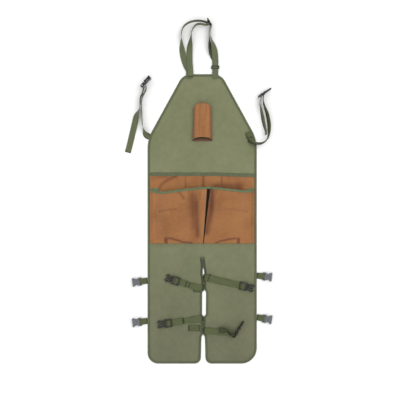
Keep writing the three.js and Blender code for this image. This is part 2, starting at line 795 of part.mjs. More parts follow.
// The right end runs straight through the tri-glide, goes round the adjuster's end bar and comes
// back down behind itself, so the tri-glide holds its two layers together.
const GLIDE = { y: 584, length: 12, bar: 2.4, travel: 20 };
const BACK_LAYER_Z = 1.2;
const FRONT_LAYER_Z = 5.05;
const STRAIGHT_END_Y = GLIDE.y + GLIDE.length / 2 + GLIDE.travel + 3;
const neckFront = [
  [NECK_X, NECK_START_Y, TAB_Z, 0, 0],
  [NECK_X, NECK_START_Y + 6, 4.3, 0, 0],
  [NECK_X, GLIDE.y - 13, FRONT_LAYER_Z, 0, 0],
  [NECK_X, GLIDE.y, FRONT_LAYER_Z, 0, 0],
  [NECK_X, GLIDE.y + 17, FRONT_LAYER_Z, 0, 0],
  [NECK_X, STRAIGHT_END_Y, FRONT_LAYER_Z, 0, 0],
  [53, 636, 6.4, 0, -6],
  [50, 656, 9, 0, -20],
  [44.5, 678, 13, 0, -48],
  [38.5, 698, 15.4, 0, -78],
  [35.5, 718, 16.6, 0, -90],
  [36.5, 738, 17.6, 0, -90],
];
const ROUND_END_BAR = [
  [32, 8.4],
  [28, 9.2],
  [24.4, 9.3],
  [21.9, 7.8],
  [21.8, 4.4],
  [24, 2.4],
  [27.6, 2.2],
  [32, 2.2],
];
const neckBack = [
  [30.5, 734, 17.4, 0, -90],
  [28.5, 714, 16, 0, -90],
  [31, 692, 14.4, 0, -80],
  [36, 670, 11, 0, -52],
  [42, 650, 7, 0, -24],
  [48, 634, 3, 0, -6],
  [NECK_X, STRAIGHT_END_Y, BACK_LAYER_Z, 0, 0],
  [NECK_X, GLIDE.y + 17, BACK_LAYER_Z, 0, 0],
  [NECK_X, GLIDE.y, BACK_LAYER_Z, 0, 0],
  [NECK_X, GLIDE.y - 13, BACK_LAYER_Z, 0, 0],
];
const roundEndBar = routeIn(adjuster, ROUND_END_BAR).map(([x, y, z]) => [x, y, z, 0, -90]);
add("neck_strap_right", strap([...neckFront, ...roundEndBar, ...neckBack]), webbing);

function triGlide() {
  const { y, length, bar } = GLIDE;
  const [low, high] = [y - length / 2, y + length / 2];
  const rails = [-1, 1].map((side) => {
    const edges = [NECK_X + side * SLOT_HALF, NECK_X + side * BUCKLE_HALF].sort((a, b) => a - b);
    return block(edges, [low, high], [2.3, 7.9]);
  });
  const across = [NECK_X - BUCKLE_HALF, NECK_X + BUCKLE_HALF];
  return geometryOf(
    union([
      ...rails,
      block(across, [low, low + bar], [6.1, 7.9]),
      block(across, [high - bar, high], [6.1, 7.9]),
      block(across, [y - bar / 2, y + bar / 2], [2.3, 4]),
    ]),
  );
}
add("neck_triglide", triGlide(), plastic);

export default apron;
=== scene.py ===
"""Looks of the split-leg welding apron: canvas, edge tape, leather pockets, webbing and buckles.

The apron lies on its back. Lengths inside the helpers are millimetres, and every mesh is written
in metres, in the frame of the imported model.
"""

import json
from contextlib import contextmanager
from math import acos, ceil, copysign, cos, dist, exp, hypot, pi, radians, sin, sqrt, tan

import bmesh
import bpy
import numpy as np
from mathutils import Matrix, Vector, noise


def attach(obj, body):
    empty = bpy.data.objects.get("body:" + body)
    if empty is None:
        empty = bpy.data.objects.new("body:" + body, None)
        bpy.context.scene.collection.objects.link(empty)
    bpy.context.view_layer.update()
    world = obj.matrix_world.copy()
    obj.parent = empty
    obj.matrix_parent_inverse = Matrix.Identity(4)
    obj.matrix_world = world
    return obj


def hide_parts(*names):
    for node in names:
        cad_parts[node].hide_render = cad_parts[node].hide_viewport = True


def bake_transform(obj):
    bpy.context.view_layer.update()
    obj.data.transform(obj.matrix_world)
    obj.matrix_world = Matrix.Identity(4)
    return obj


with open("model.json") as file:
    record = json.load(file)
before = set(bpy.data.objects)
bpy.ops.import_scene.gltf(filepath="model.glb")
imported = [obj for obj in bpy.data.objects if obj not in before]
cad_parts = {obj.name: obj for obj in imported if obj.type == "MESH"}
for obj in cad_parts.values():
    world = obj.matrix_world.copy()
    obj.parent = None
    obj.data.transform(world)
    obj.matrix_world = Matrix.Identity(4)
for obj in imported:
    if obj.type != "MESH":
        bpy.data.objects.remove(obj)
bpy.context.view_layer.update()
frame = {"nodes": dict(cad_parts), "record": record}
MM = 0.001

# ---- driving dimensions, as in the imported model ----

BODY_HALF = 225
BIB_TOP_Y = 556
BIB_TOP_HALF = 78
BIB_TOP_RADIUS = 55
SHOULDER_Y = 288
SHOULDER_RADIUS = 156
LEG_FOLD_Y = -200
HEM_Y = -638
HEM_OUTER_RADIUS = {-1: 44, 1: 64}  # by side: -1 is the left leg
HEM_INNER_RADIUS = 25
SLIT_HALF = 8.5
POCKET_BOTTOM_Y = -144
CLOTH_TOP = 1.8
BINDING_TOP = 3.0
TAPE_WIDTH = 9
TAPE_INSET = 1.3  # from the tape's outer edge to the canvas inside it
WEB_WIDTH = 25
WEB = 1.5
GAP = 0.3
TAB_Z = 4.05  # the middle of webbing sewn on over the edge tape
LYING_Z = 3.05  # the middle of webbing that lies on the canvas

SIDES = ((-1, "left"), (1, "right"))

# Where a piece bends from one body into the next: two points in metres, the ends of the bend.
BIB_BEND = ("waist", "bib", (0, 0.152, 0), (0, 0.192, 0))
LEG_BENDS = {side: ("waist", f"leg_{word}", (0, -0.190, 0), (0, -0.226, 0)) for side, word in SIDES}
NECK_BEND = ("bib", "neck_strap", (0, 0.5535, 0), (0, 0.5635, 0))

# ---- camera, floor and light ----

EYE_HEIGHT = 2.3
FRAME_WIDTH = 1.718  # what the picture spans at the floor
FRAME_CENTRE = (0.024, 0.004)
SENSOR_WIDTH = 36
FLOOR_Z = -0.0006  # just under the canvas
WORLD_LIGHT = 0.765
AREA_LIGHTS = (  # name, place, size and power
    ("key", (1.3, 0.9, 2.6), 1.8, 28),
    ("fill", (-1.2, -1.5, 2.8), 2.6, 24),
)


def make_stage():
    camera = bpy.data.objects.new("camera", bpy.data.cameras.new("camera"))
    bpy.context.scene.collection.objects.link(camera)
    camera.location = (*FRAME_CENTRE, EYE_HEIGHT)
    camera.data.sensor_width = SENSOR_WIDTH
    camera.data.lens = SENSOR_WIDTH * EYE_HEIGHT / FRAME_WIDTH
    camera.data.clip_start = 0.05
    bpy.context.scene.camera = camera

    bpy.ops.mesh.primitive_plane_add(size=8, location=(0, 0, FLOOR_Z))
    floor = bpy.context.object
    floor.name = "floor"
    floor.data.materials.append(plain_material("floor", (0.98, 0.98, 0.98), 0.9))

    world = bpy.data.worlds.new("studio")
    world.use_nodes = True
    background = world.node_tree.nodes["Background"]
    background.inputs["Color"].default_value = (1, 1, 1, 1)
    background.inputs["Strength"].default_value = WORLD_LIGHT
    bpy.context.scene.world = world
    for name, place, size, power in AREA_LIGHTS:
        data = bpy.data.lights.new(name, "AREA")
        data.size = size
        data.energy = power
        light = bpy.data.objects.new(name, data)
        light.location = place
        light.rotation_euler = (-Vector(place)).to_track_quat("-Z", "Y").to_euler()
        bpy.context.scene.collection.objects.link(light)
    bpy.context.scene.view_settings.view_transform = "Standard"


# ---- materials ----


def srgb(r, g, b):
    """Linear colour of an sRGB colour given from 0 to 255."""
    return tuple(((c / 255 + 0.055) / 1.055) ** 2.4 if c > 10 else c / 255 / 12.92 for c in (r, g, b))


def plain_material(name, color, roughness):
    material = bpy.data.materials.new(name)
    material.use_nodes = True
    shader = material.node_tree.nodes["Principled BSDF"]
    shader.inputs["Base Color"].default_value = (*color, 1)
    shader.inputs["Roughness"].default_value = roughness
    return material


class Build:
    """A material's node tree, with short names for what the materials below repeat."""

    def __init__(self, name, roughness, sheen=0.0, specular=0.3):
        self.material = plain_material(name, (0.5, 0.5, 0.5), roughness)
        self.tree = self.material.node_tree
        self.shader = self.tree.nodes["Principled BSDF"]
        self.shader.inputs["Sheen Weight"].default_value = sheen
        self.shader.inputs["Sheen Roughness"].default_value = 0.5
        self.shader.inputs["Specular IOR Level"].default_value = specular

    def node(self, kind, inputs=None, **settings):
        """A new node. Each input, by name or index, is a value or another node's socket."""
        made = self.tree.nodes.new(kind)
        for key, value in settings.items():
            setattr(made, key, value)
        for key, value in (inputs or {}).items():
            if isinstance(value, bpy.types.NodeSocket):
                self.tree.links.new(value, made.inputs[key])
            else:
                made.inputs[key].default_value = value
        return made

    def coordinates(self):
        return self.node("ShaderNodeTexCoord").outputs["Object"]

    def attribute(self, name, output):
        return self.node("ShaderNodeAttribute", attribute_name=name).outputs[output]

    def cloth(self):
        """Place on the cloth: across it, along it and 0, in metres."""
        return self.attribute("cloth", "Vector")

    def stretched(self, vector, scale):
        return self.node("ShaderNodeMapping", {"Vector": vector, "Scale": scale}).outputs["Vector"]

    def noise(self, vector, scale, detail=3.0, roughness=0.5):
        inputs = {"Vector": vector, "Scale": scale, "Detail": detail, "Roughness": roughness}
        return self.node("ShaderNodeTexNoise", inputs).outputs["Fac"]

    def ramp(self, value, *stops):
        """The colour of a value from 0 to 1, through (value, colour) stops."""
        made = self.node("ShaderNodeValToRGB", {"Fac": value})
        elements = made.color_ramp.elements
        while len(elements) < len(stops):
            elements.new(0.5)
        for element, (place, color) in zip(elements, stops):
            element.position = place
            element.color = (*color, 1)
        return made.outputs["Color"]

    def tinted(self, color, amount, value, *stops):
        """A colour multiplied, by some amount, by a ramp over a value."""
        if not isinstance(color, bpy.types.NodeSocket):
            color = (*color, 1)
        inputs = {0: amount, 6: color, 7: self.ramp(value, *stops)}
        return self.node("ShaderNodeMix", inputs, data_type="RGBA", blend_type="MULTIPLY").outputs[2]

    def math(self, operation, a, b):
        return self.node("ShaderNodeMath", {0: a, 1: b}, operation=operation).outputs[0]

    def threads(self, vector, axis, pitch):
        """Ridges across one axis, one every pitch metres."""
        waves = {"Scale": pi / 10 / pitch, "Distortion": 0.6, "Detail": 1, "Detail Scale": 0.6}
        return self.node("ShaderNodeTexWave", {"Vector": vector, **waves}, bands_direction=axis).outputs["Fac"]

    def painted_shade_and_seals(self, color, *stops):
        """Darkens a colour by the mesh's own painted shade, with the dark of sealed webbing ends, from 0 to 1.
        """
        return self.tinted(color, 1.0, self.attribute("painted_shade_and_seals", "Fac"), (0.0, WHITE), *stops)

    def finish(self, color, height, strength, distance):
        bump = self.node("ShaderNodeBump", {"Height": height, "Strength": strength, "Distance": distance})
        self.tree.links.new(color, self.shader.inputs["Base Color"])
        self.tree.links.new(bump.outputs["Normal"], self.shader.inputs["Normal"])
        return self.material


WHITE = (1, 1, 1)
CANVAS = srgb(131, 134, 102)
CANVAS_DARK = srgb(119, 124, 93)
# Painted shade that darkens the canvas towards the hem.
HEM_FALLOFF_SHADE = (0.77, 0.74, 0.82)
LEATHER = srgb(157, 107, 65)
LEATHER_DARK = srgb(139, 91, 54)
LEATHER_LIGHT = srgb(169, 119, 71)
# Painted shade on leather: a deep red-brown, and near-black in the deepest gaps.
PAINTED_SHADE_TINT = (0.47, 0.37, 0.44)
DEEP_PAINTED_SHADE_TINT = (0.13, 0.14, 0.12)
# The darkest painted shade on tape and webbing, also the colour of sealed webbing ends.
WEB_SHADE_AND_SEAL_TINT = (0.2, 0.2, 0.18)


def canvas_material():
    """Plain weave, a little worn, with painted shade that darkens it towards the hem in place of the light
    falling off.
    """
    b = Build("canvas", 0.82, sheen=0.08, specular=0.25)
    at = b.coordinates()
    color = b.ramp(b.noise(at, 5.0, 2.0), (0.3, CANVAS_DARK), (0.7, CANVAS))
    worn = b.noise(at, 38.0, 4.0, 0.6)
    color = b.tinted(color, 0.7, worn, (0.25, (0.86, 0.87, 0.84)), (0.75, (1.08, 1.08, 1.06)))
    # Painted shade: the canvas darkens towards the hem, standing in for the light's falloff.
    height = b.node("ShaderNodeSeparateXYZ", {"Vector": at}).outputs["Y"]
    hem_falloff = b.node("ShaderNodeMapRange", {"Value": height, "From Min": HEM_Y * MM, "From Max": 0.1})
    color = b.tinted(color, 1.0, hem_falloff.outputs["Result"], (0.0, HEM_FALLOFF_SHADE), (1.0, WHITE))
    weave = b.math("MULTIPLY", b.threads(at, "X", 0.0012), b.threads(at, "Y", 0.0012))
    color = b.tinted(color, 0.16, weave, (0.0, (0.55, 0.55, 0.5)), (0.6, WHITE))
    return b.finish(color, weave, 0.25, 0.0004)


def tape_material(name, color):
    b = Build(name, 0.8, sheen=0.08, specular=0.25)
    at = b.cloth()
    mottle = b.noise(b.stretched(at, (1, 0.25, 1)), 90.0)
    color = b.tinted(color, 0.8, mottle, (0.3, (0.82, 0.82, 0.8)), (0.7, (1.08, 1.08, 1.05)))
    weave = b.math("MULTIPLY", b.threads(at, "X", 0.0009), b.threads(at, "Y", 0.0009))
    return b.finish(b.painted_shade_and_seals(color, (1.0, WEB_SHADE_AND_SEAL_TINT)), weave, 0.25, 0.0003)


def webbing_material(name, color):
    """Ribbed webbing: fine warp ridges along it, and weft picks across it."""
    b = Build(name, 0.7, sheen=0.1, specular=0.3)
    at = b.cloth()
    mottle = b.noise(b.stretched(at, (1, 0.2, 1)), 130.0)
    color = b.tinted(color, 0.8, mottle, (0.3, (0.84, 0.84, 0.82)), (0.7, (1.1, 1.1, 1.07)))
    picks = b.math("MULTIPLY", b.threads(at, "Y", 0.0016), 0.7)
    warp = b.math("MULTIPLY", b.threads(at, "X", 0.0011), 0.5)
    weave = b.math("ADD", picks, warp)
    color = b.tinted(color, 0.3, weave, (0.1, (0.5, 0.5, 0.46)), (0.7, WHITE))
    return b.finish(b.painted_shade_and_seals(color, (1.0, WEB_SHADE_AND_SEAL_TINT)), weave, 0.5, 0.0005)


def leather_material(name, grain=(1, 1, 1)):
    """Split leather: napped, with broad tone changes, painted shade in its creases and hollows, and short
    scuffs.
    """
    b = Build(name, 0.78, sheen=0.25, specular=0.22)
    at = b.coordinates()
    grained = b.stretched(at, grain)
    broad = b.noise(grained, 9.0, 4.0, 0.55)
    color = b.ramp(broad, (0.25, LEATHER_DARK), (0.5, LEATHER), (0.8, LEATHER_LIGHT))
    nap = b.noise(grained, 300.0, 6.0, 0.7)
    color = b.tinted(color, 0.35, nap, (0.25, (0.62, 0.58, 0.55)), (0.7, (1.12, 1.1, 1.08)))
    scuff = b.noise(b.stretched(at, (1, 3.0, 1)), 45.0, 5.0, 0.7)
    color = b.tinted(color, 0.5, scuff, (0.3, (0.86, 0.82, 0.8)), (0.6, (1.03, 1.03, 1.02)))
    # Painted shade darkens the leather where the mesh marks creases, hollows and gaps.
    color = b.painted_shade_and_seals(color, (0.9, PAINTED_SHADE_TINT), (1.0, DEEP_PAINTED_SHADE_TINT))
    return b.finish(color, b.math("ADD", nap, b.math("MULTIPLY", scuff, 0.6)), 0.35, 0.0006)


def plastic_material(name, dark, light):
    b = Build(name, 0.4, specular=0.4)
    haze = b.noise(b.coordinates(), 260.0, 4.0, 0.6)
    rough = b.ramp(haze, (0.3, (0.32, 0.32, 0.32)), (0.8, (0.48, 0.48, 0.48)))
    b.tree.links.new(rough, b.shader.inputs["Roughness"])
    return b.finish(b.ramp(haze, (0.3, dark), (0.75, light)), haze, 0.12, 0.0002)


def thread_material(name, color):
    b = Build(name, 0.7, sheen=0.1)
    twist = b.noise(b.coordinates(), 900.0, 2.0)
    color = b.tinted(color, 0.5, twist, (0.3, (0.7, 0.7, 0.7)), (0.7, (1.1, 1.1, 1.1)))
    return b.finish(color, twist, 0.3, 0.0002)


make_stage()
MATERIALS = {
    "canvas": canvas_material(),
    "tape": tape_material("edge_tape", srgb(94, 101, 76)),
    "pocket_tape": tape_material("pocket_tape", srgb(98, 114, 84)),
    "webbing": webbing_material("webbing", srgb(99, 106, 76)),
    "leg_webbing": webbing_material("leg_webbing", srgb(86, 94, 60)),
    "leather": leather_material("leather"),
    "chest_leather": leather_material("chest_leather", (5, 0.7, 1)),
    "plastic": plastic_material("plastic", srgb(15, 16, 17), srgb(32, 34, 35)),
    # The receivers' plastic is grey, and lighter than the inserts' partly as painted highlights and
    # reflection.
    "grey_plastic_painted_highlights": plastic_material("grey_plastic_painted_highlights", srgb(74, 77, 80), srgb(118, 121, 124)),
    "thread": thread_material("thread", srgb(84, 90, 66)),
    "dark_thread": thread_material("dark_thread", srgb(30, 34, 22)),
    "brown_thread": thread_material("brown_thread", srgb(112, 72, 44)),
}


# ---- meshes ----


@contextmanager
def edited(mesh):
    bm = bmesh.new()
    bm.from_mesh(mesh)
    yield bm
    bm.to_mesh(mesh)
    bm.free()


def shown(name, mesh, material):
    """A smooth-shaded object in the scene, in its material's slot."""
    for polygon in mesh.polygons:
        polygon.use_smooth = True
    mesh.materials.append(MATERIALS[material])
    piece = bpy.data.objects.new(name, mesh)
    bpy.context.scene.collection.objects.link(piece)
    return piece


def make(name, vertices, faces, material, cloth=None, painted_shade_and_seals=None):
    """A mesh object from millimetres, with its faces turned out."""
    mesh = bpy.data.meshes.new(name)
    mesh.from_pydata([tuple(c * MM for c in v) for v in vertices], [], faces)
    if cloth is not None:
        layer = mesh.attributes.new("cloth", "FLOAT_VECTOR", "POINT")
        layer.data.foreach_set("vector", np.array(cloth, np.float32).ravel() * MM)
    # Painted shade for each vertex, and the dark of sealed webbing ends.
    if painted_shade_and_seals is not None:
        layer = mesh.attributes.new("painted_shade_and_seals", "FLOAT", "POINT")
        layer.data.foreach_set("value", np.array(painted_shade_and_seals, np.float32))
    with edited(mesh) as bm:
        bmesh.ops.recalc_face_normals(bm, faces=bm.faces)
    return shown(name, mesh, material)


def sharpen(piece, degrees=40):
    """Keeps edges sharper than an angle crisp on a smooth-shaded mesh."""
    with edited(piece.data) as bm:
        for edge in bm.edges:
            if len(edge.link_faces) == 2 and edge.calc_face_angle(0) > radians(degrees):
                edge.smooth = False


def carried(piece, body):
    """Ties a piece to one body's name; a piece on a bend between two bodies only has its transform baked."""
    if isinstance(body, str):
        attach(piece, body)
    else:
        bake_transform(piece)


def soft(piece, nodes, body, flat, held, rests_on, **more):
    """What a sheet stands for and what carries it."""
    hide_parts(*nodes)
    carried(piece, body)


def two_layers(top, bottom, columns, rows):
    """Vertices and faces of a closed sheet from two grids of the same size, row by row."""
    count = (columns + 1) * (rows + 1)
    faces = []
    for j in range(rows):
        for i in range(columns):
            a = j * (columns + 1) + i
            quad = (a, a + 1, a + columns + 2, a + columns + 1)
            faces.append(quad)
            faces.append(tuple(v + count for v in reversed(quad)))
    border = list(range(columns + 1))
    border += [j * (columns + 1) + columns for j in range(1, rows + 1)]
    border += [rows * (columns + 1) + i for i in range(columns - 1, -1, -1)]
    border += [j * (columns + 1) for j in range(rows - 1, 0, -1)]
    for a, b in zip(border, border[1:] + border[:1]):
        faces.append((a, a + count, b + count, b))
    return list(top) + list(bottom), faces


def ease(a, b, x):
    t = min(1.0, max(0.0, (x - a) / (b - a)))
    return t * t * (3 - 2 * t)


def between(start, full, fade, end, x):
    """1 from full to fade, falling to 0 at start and end."""
    return ease(start, full, x) * ease(end, fade, x)


def lerp(a, b, t):
    return a + (b - a) * t


def wave(x, y, z=0):
    """Smooth noise of about -1 to 1, with waves about 1 long."""
    return noise.noise(Vector((x, y, z)))


def length_of(path):
    return sum((b - a).length for a, b in zip(path, path[1:]))


def tube_faces(count, rings):
    """Faces of a closed tube of rings with the same count of vertices."""
    faces = []
    for k in range(rings - 1):
        for j in range(count):
            a, b = k * count + j, k * count + (j + 1) % count
            faces.append((a, b, b + count, a + count))
    return faces + [tuple(reversed(range(count))), tuple(range((rings - 1) * count, rings * count))]


def table(points, x):
    """Smooth curve through (x, value) points."""
    if x <= points[0][0]:
        return points[0][1]
    for (x0, v0), (x1, v1) in zip(points, points[1:]):
        if x <= x1:
            return lerp(v0, v1, ease(x0, x1, x))
    return points[-1][1]


# ---- outlines ----


def rounded_path(corners, step=4.0):
    """A path through corners (x, y, radius), each rounded by its radius."""
    path = []
    for i, corner in enumerate(corners):
        at = Vector(corner[:2])
        radius = corner[2] if len(corner) > 2 else 0
        if not radius:
            path.append(at)
            continue
        before = (Vector(corners[i - 1][:2]) - at).normalized()
        after = (Vector(corners[i + 1][:2]) - at).normalized()
        half = acos(before.dot(after)) / 2
        centre = at + (before + after).normalized() * (radius / sin(half))
        start = at + before * (radius / tan(half)) - centre
        turn = (pi - 2 * half) * (1 if after.cross(before) > 0 else -1)
        steps = max(4, ceil(abs(turn) * radius / step))
        for k in range(steps + 1):
            path.append(centre + Matrix.Rotation(turn * k / steps, 2) @ start)
    return path


def densified(path, step):
    made = [path[0]]
    for a, b in zip(path, path[1:]):
        count = max(1, ceil((b - a).length / step))
        made += [a.lerp(b, k / count) for k in range(1, count + 1)]
    return made


def inward(path):
    """The way in at each point of a path that runs anticlockwise round its panel."""
    made = []
    for i in range(len(path)):
        a, b = path[max(0, i - 1)], path[min(len(path) - 1, i + 1)]
        along = (b - a).normalized()
        made.append(Vector((-along.y, along.x)))
    return made


def inset(path, distance):
    return [p + n * distance for p, n in zip(path, inward(path))]


RIGHT_EDGE = rounded_path(
    [
        (BODY_HALF, POCKET_BOTTOM_Y),
        (BODY_HALF, SHOULDER_Y, SHOULDER_RADIUS),
        (BIB_TOP_HALF, BIB_TOP_Y, BIB_TOP_RADIUS),
        (0, BIB_TOP_Y),
    ]
)[:-1]
UPPER_EDGE = RIGHT_EDGE + [Vector((-p.x, p.y)) for p in reversed(RIGHT_EDGE)]
ROW_STEP = 5

# The slit from the hem to its top: y, its middle's x and half its width. It closes where webbing crosses.
SLIT = [
    (HEM_Y, 4, 10.3), (-560, 4, 8.4), (-528, 4, 7), (-518, 3.5, 1.1), (-490, 4, 1.1), (-486, 4, 0.3),
    (-468, 4, 0.3), (-464, 4, 1.1), (-446, 4.5, 1.1), (-434, 7.5, 8), (-350, 8, 8.3), (-341, 8, 7),
    (-331, 6, 1.1), (-319, 6, 1.1), (-315, 6, 0.3), (-295, 5.5, 0.3), (-291, 5.5, 1.1), (-280, 5, 1.1),
    (-273, 5.3, 3.3), (-259, 5.2, 3.4), (-238, 4, 0.5), (-200, 0.5, 0.4),
]
SLIT_MIDDLE = [(y, middle) for y, middle, _ in SLIT]
SLIT_OPENING = [(y, half) for y, _, half in SLIT]


def slit_edge(side, y):
    """How far the edge of one leg stands out from the part's middle, on its own side."""
    return table(SLIT_OPENING, y) + side * table(SLIT_MIDDLE, y)


def leg_edge(side):
    """The edge of one leg, anticlockwise, from the pocket's bottom to the top of the slit or back."""
    corners = [
        (-BODY_HALF, POCKET_BOTTOM_Y),
        (-BODY_HALF, HEM_Y, HEM_OUTER_RADIUS[side]),
        (-slit_edge(side, HEM_Y), HEM_Y, HEM_INNER_RADIUS),
        *((-slit_edge(side, y), y) for y in range(HEM_Y + 38, LEG_FOLD_Y, ROW_STEP)),
        (-slit_edge(side, LEG_FOLD_Y), LEG_FOLD_Y + 2),
    ]
    if side > 0:
        corners = [(-x, *rest) for x, *rest in reversed(corners)]
    return rounded_path(corners)


# ---- canvas ----


def dip(x, y):
    """How far the canvas sags below its highest level, from 0 to 1 mm."""
    broad = wave(x / 95, y / 120, 3.7)
    small = wave(x / 34, y / 40, 9.1)
    return 0.5 + 0.42 * broad + 0.16 * small


CANVAS_THICK = 0.8
HEM_ROWS_FROM = {-1: -580, 1: -570}  # below this the rows get closer, round the hem's outer corner


def canvas_sheet(name, rows, columns, nodes, bend, flat):
    """One closed sheet of canvas through rows of (left point, right point)."""
    top, bottom = [], []
    for left, right in rows:
        for i in range(columns + 1):
            p = left.lerp(right, i / columns)
            z = CLOTH_TOP - dip(p.x, p.y)
            top.append((p.x, p.y, z))
            bottom.append((p.x, p.y, max(0.05, z - CANVAS_THICK)))
    vertices, faces = two_layers(top, bottom, columns, len(rows) - 1)
    piece = make(name, vertices, faces, "canvas")
    sharpen(piece)
    widths = [(b.x - a.x, a.y) for a, b in rows]
    area = sum((w0 + w1) / 2 * abs(y1 - y0) for (w0, y0), (w1, y1) in zip(widths, widths[1:])) * MM * MM
    soft(piece, nodes, bend, flat, "laid", ["floor"], area=area)


def corner_cut(y, radius):
    """How far the hem's rounded corner stands in from the straight edge above it."""
    below = max(0, HEM_Y + TAPE_INSET + radius - y)
    return radius - sqrt(max(0, radius**2 - below**2))


def leg_rows(side):
    """Rows of one leg's canvas, from the pocket's bottom to the hem."""
    radius = HEM_OUTER_RADIUS[side]
    levels = list(range(POCKET_BOTTOM_Y, HEM_ROWS_FROM[side], -ROW_STEP))
    levels += [HEM_Y + TAPE_INSET + radius * (1 - sin(radians(a))) for a in range(0, 91, 9)]
    rows = []
    for y in levels:
        outer = BODY_HALF - TAPE_INSET - corner_cut(y, radius)
        slit = 0 if y > LEG_FOLD_Y else slit_edge(side, y) + TAPE_INSET
        inner = slit + corner_cut(y, HEM_INNER_RADIUS)
        rows.append([Vector((side * x, y)) for x in (inner, outer)[::side]])
    return rows


upper_rows = [(Vector((-p.x, p.y)), p) for p in densified(inset(RIGHT_EDGE, TAPE_INSET), 9)]
canvas_sheet("canvas_upper", upper_rows, 64, ["bib_panel", "waist_panel"], BIB_BEND, (0.45, 0.70))
for side, word in SIDES:
    nodes = [f"leg_panel_{word}"] + (["hip_panel"] if side < 0 else [])
    canvas_sheet(f"canvas_{word}_leg", leg_rows(side), 34, nodes, LEG_BENDS[side], (0.225, 0.494))


# ---- edge tape ----


def swept(path, section):
    """Vertices, faces and cloth places of a section (inward, up) swept along a flat path."""
    vertices, cloth = [], []
    run = 0
    girth = [0]
    for a, b in zip(section, section[1:]):
        girth.append(girth[-1] + dist(a, b))
    for k, (p, n) in enumerate(zip(path, inward(path))):
        if k:
            run += (p - path[k - 1]).length
        wobble = 0.35 * wave(run / 14, 1.3)
        pucker = 0.22 * wave(run / 7, 5.1)
        for (d, z), g in zip(section, girth):
            lift = pucker if z > 1.5 else 0
            reach = d + (wobble if d > 4 else 0)
            vertices.append((p.x + n.x * reach, p.y + n.y * reach, max(0.0, z + lift)))
            cloth.append((g, run, 0))
    return vertices, tube_faces(len(section), len(path)), cloth


TAPE_SECTION = [
    (TAPE_WIDTH - 0.5, 0.02), (1.2, 0.02), (0.35, 0.25), (0, 0.9), (0, 2.0), (0.3, 2.7), (1.1, BINDING_TOP),
    (TAPE_WIDTH - 0.8, BINDING_TOP - 0.1), (TAPE_WIDTH, 2.6), (TAPE_WIDTH, 1.95), (1.2, 1.95), (1.2, 0.35),
    (TAPE_WIDTH - 0.5, 0.35),
]


# Where the slit's edges crowd together and the tape takes its deepest painted shade, by y: (start, full, fade,
# end).
CROWDED_ABOVE = (-345, -325, -212, -196)
CROWDED_BELOW = (-522, -510, -452, -440)


def tape_shade(x, y):
    """Painted shade on the tape beside the slit, deepest where its two edges crowd together."""
    crowded = between(*CROWDED_ABOVE, y) + 0.7 * between(*CROWDED_BELOW, y)
    return 0.62 * max(crowded, 0.3) * ease(22, 16, abs(x)) * ease(-194, -200, y)


LOZENGE = (  # along the stitch, across it and up
    (-0.5, 0, -0.3), (-0.2, -0.5, 0.1), (0.2, -0.5, 0.1), (0.5, 0, -0.3), (0.2, 0.5, 0.1), (-0.2, 0.5, 0.1),
    (-0.2, 0, 1), (0.2, 0, 1),
)
LOZENGE_FACES = (
    (0, 1, 6), (1, 2, 7, 6), (2, 3, 7), (3, 4, 7), (4, 5, 6, 7), (5, 0, 6), (0, 5, 4, 3, 2, 1),
)


def stitches(name, paths, material, body, pitch=3.6, length=2.5, width=0.75, rise=0.32):
    """Rows of stitches along paths of (x, y, z) points, each a small raised lozenge."""
    vertices, faces = [], []
    for path in paths:
        points = [Vector(p) for p in path]
        lengths = [0.0]
        for a, b in zip(points, points[1:]):
            lengths.append(lengths[-1] + (b - a).length)
        at = pitch / 2
        k = 0
        while at < lengths[-1] - pitch / 2:
            while lengths[k + 1] < at:
                k += 1
            t = (at - lengths[k]) / max(1e-6, lengths[k + 1] - lengths[k])
            centre = points[k].lerp(points[k + 1], t)
            along = (points[k + 1] - points[k]).normalized()
            across = along.cross(Vector((0, 0, 1))).normalized()
            up = across.cross(along)
            faces += [tuple(len(vertices) + v for v in face) for face in LOZENGE_FACES]
            for s, w, h in LOZENGE:
                vertices.append(centre + along * s * length + across * w * width + up * h * rise)
            at += pitch
    carried(make(name, vertices, faces, material), body)


def edge_tape(word, path, nodes, bend):
    """Tape folded over an edge, and the stitches near its inner hem."""
    path = densified(path, 5)
    vertices, faces, cloth = swept(path, TAPE_SECTION)
    painted_shade_and_seals = [tape_shade(x, y) for x, y, _ in vertices]
    piece = make(f"{word}_edge_tape", vertices, faces, "tape", cloth, painted_shade_and_seals)
    sharpen(piece, 50)
    soft(piece, nodes, bend, (0.021, round(length_of(path) * MM, 3)), "folded", ["floor"])
    row = [(p.x, p.y, BINDING_TOP) for p in inset(path, TAPE_WIDTH - 1.8)]
    stitches(f"{word}_edge_stitching", [row], "thread", bend)


edge_tape("upper", UPPER_EDGE, ["bib_binding", "side_binding_left", "side_binding_right"], BIB_BEND)
for side, word in SIDES:
    edge_tape(f"{word}_leg", leg_edge(side), [f"leg_binding_{word}"], LEG_BENDS[side])

# ---- leather pockets ----


def distance_to(path, x, y):
    """Distance from a point to a path of (x, y) points."""
    best = 1e9
    for (ax, ay), (bx, by) in zip(path, path[1:]):
        dx, dy = bx - ax, by - ay
        t = min(1, max(0, ((x - ax) * dx + (y - ay) * dy) / (dx * dx + dy * dy)))
        best = min(best, hypot(x - ax - t * dx, y - ay - t * dy))
    return best


def crease_at(creases, x, y):
    """Depth and painted shade that a list of (path, width, depth, painted shade) creases gives a point."""
    depth = dark = 0
    for path, width, deep, shade in creases:
        near = exp(-((distance_to(path, x, y) / width) ** 2))
        depth += deep * near
        dark = max(dark, shade * near)
    return depth, dark


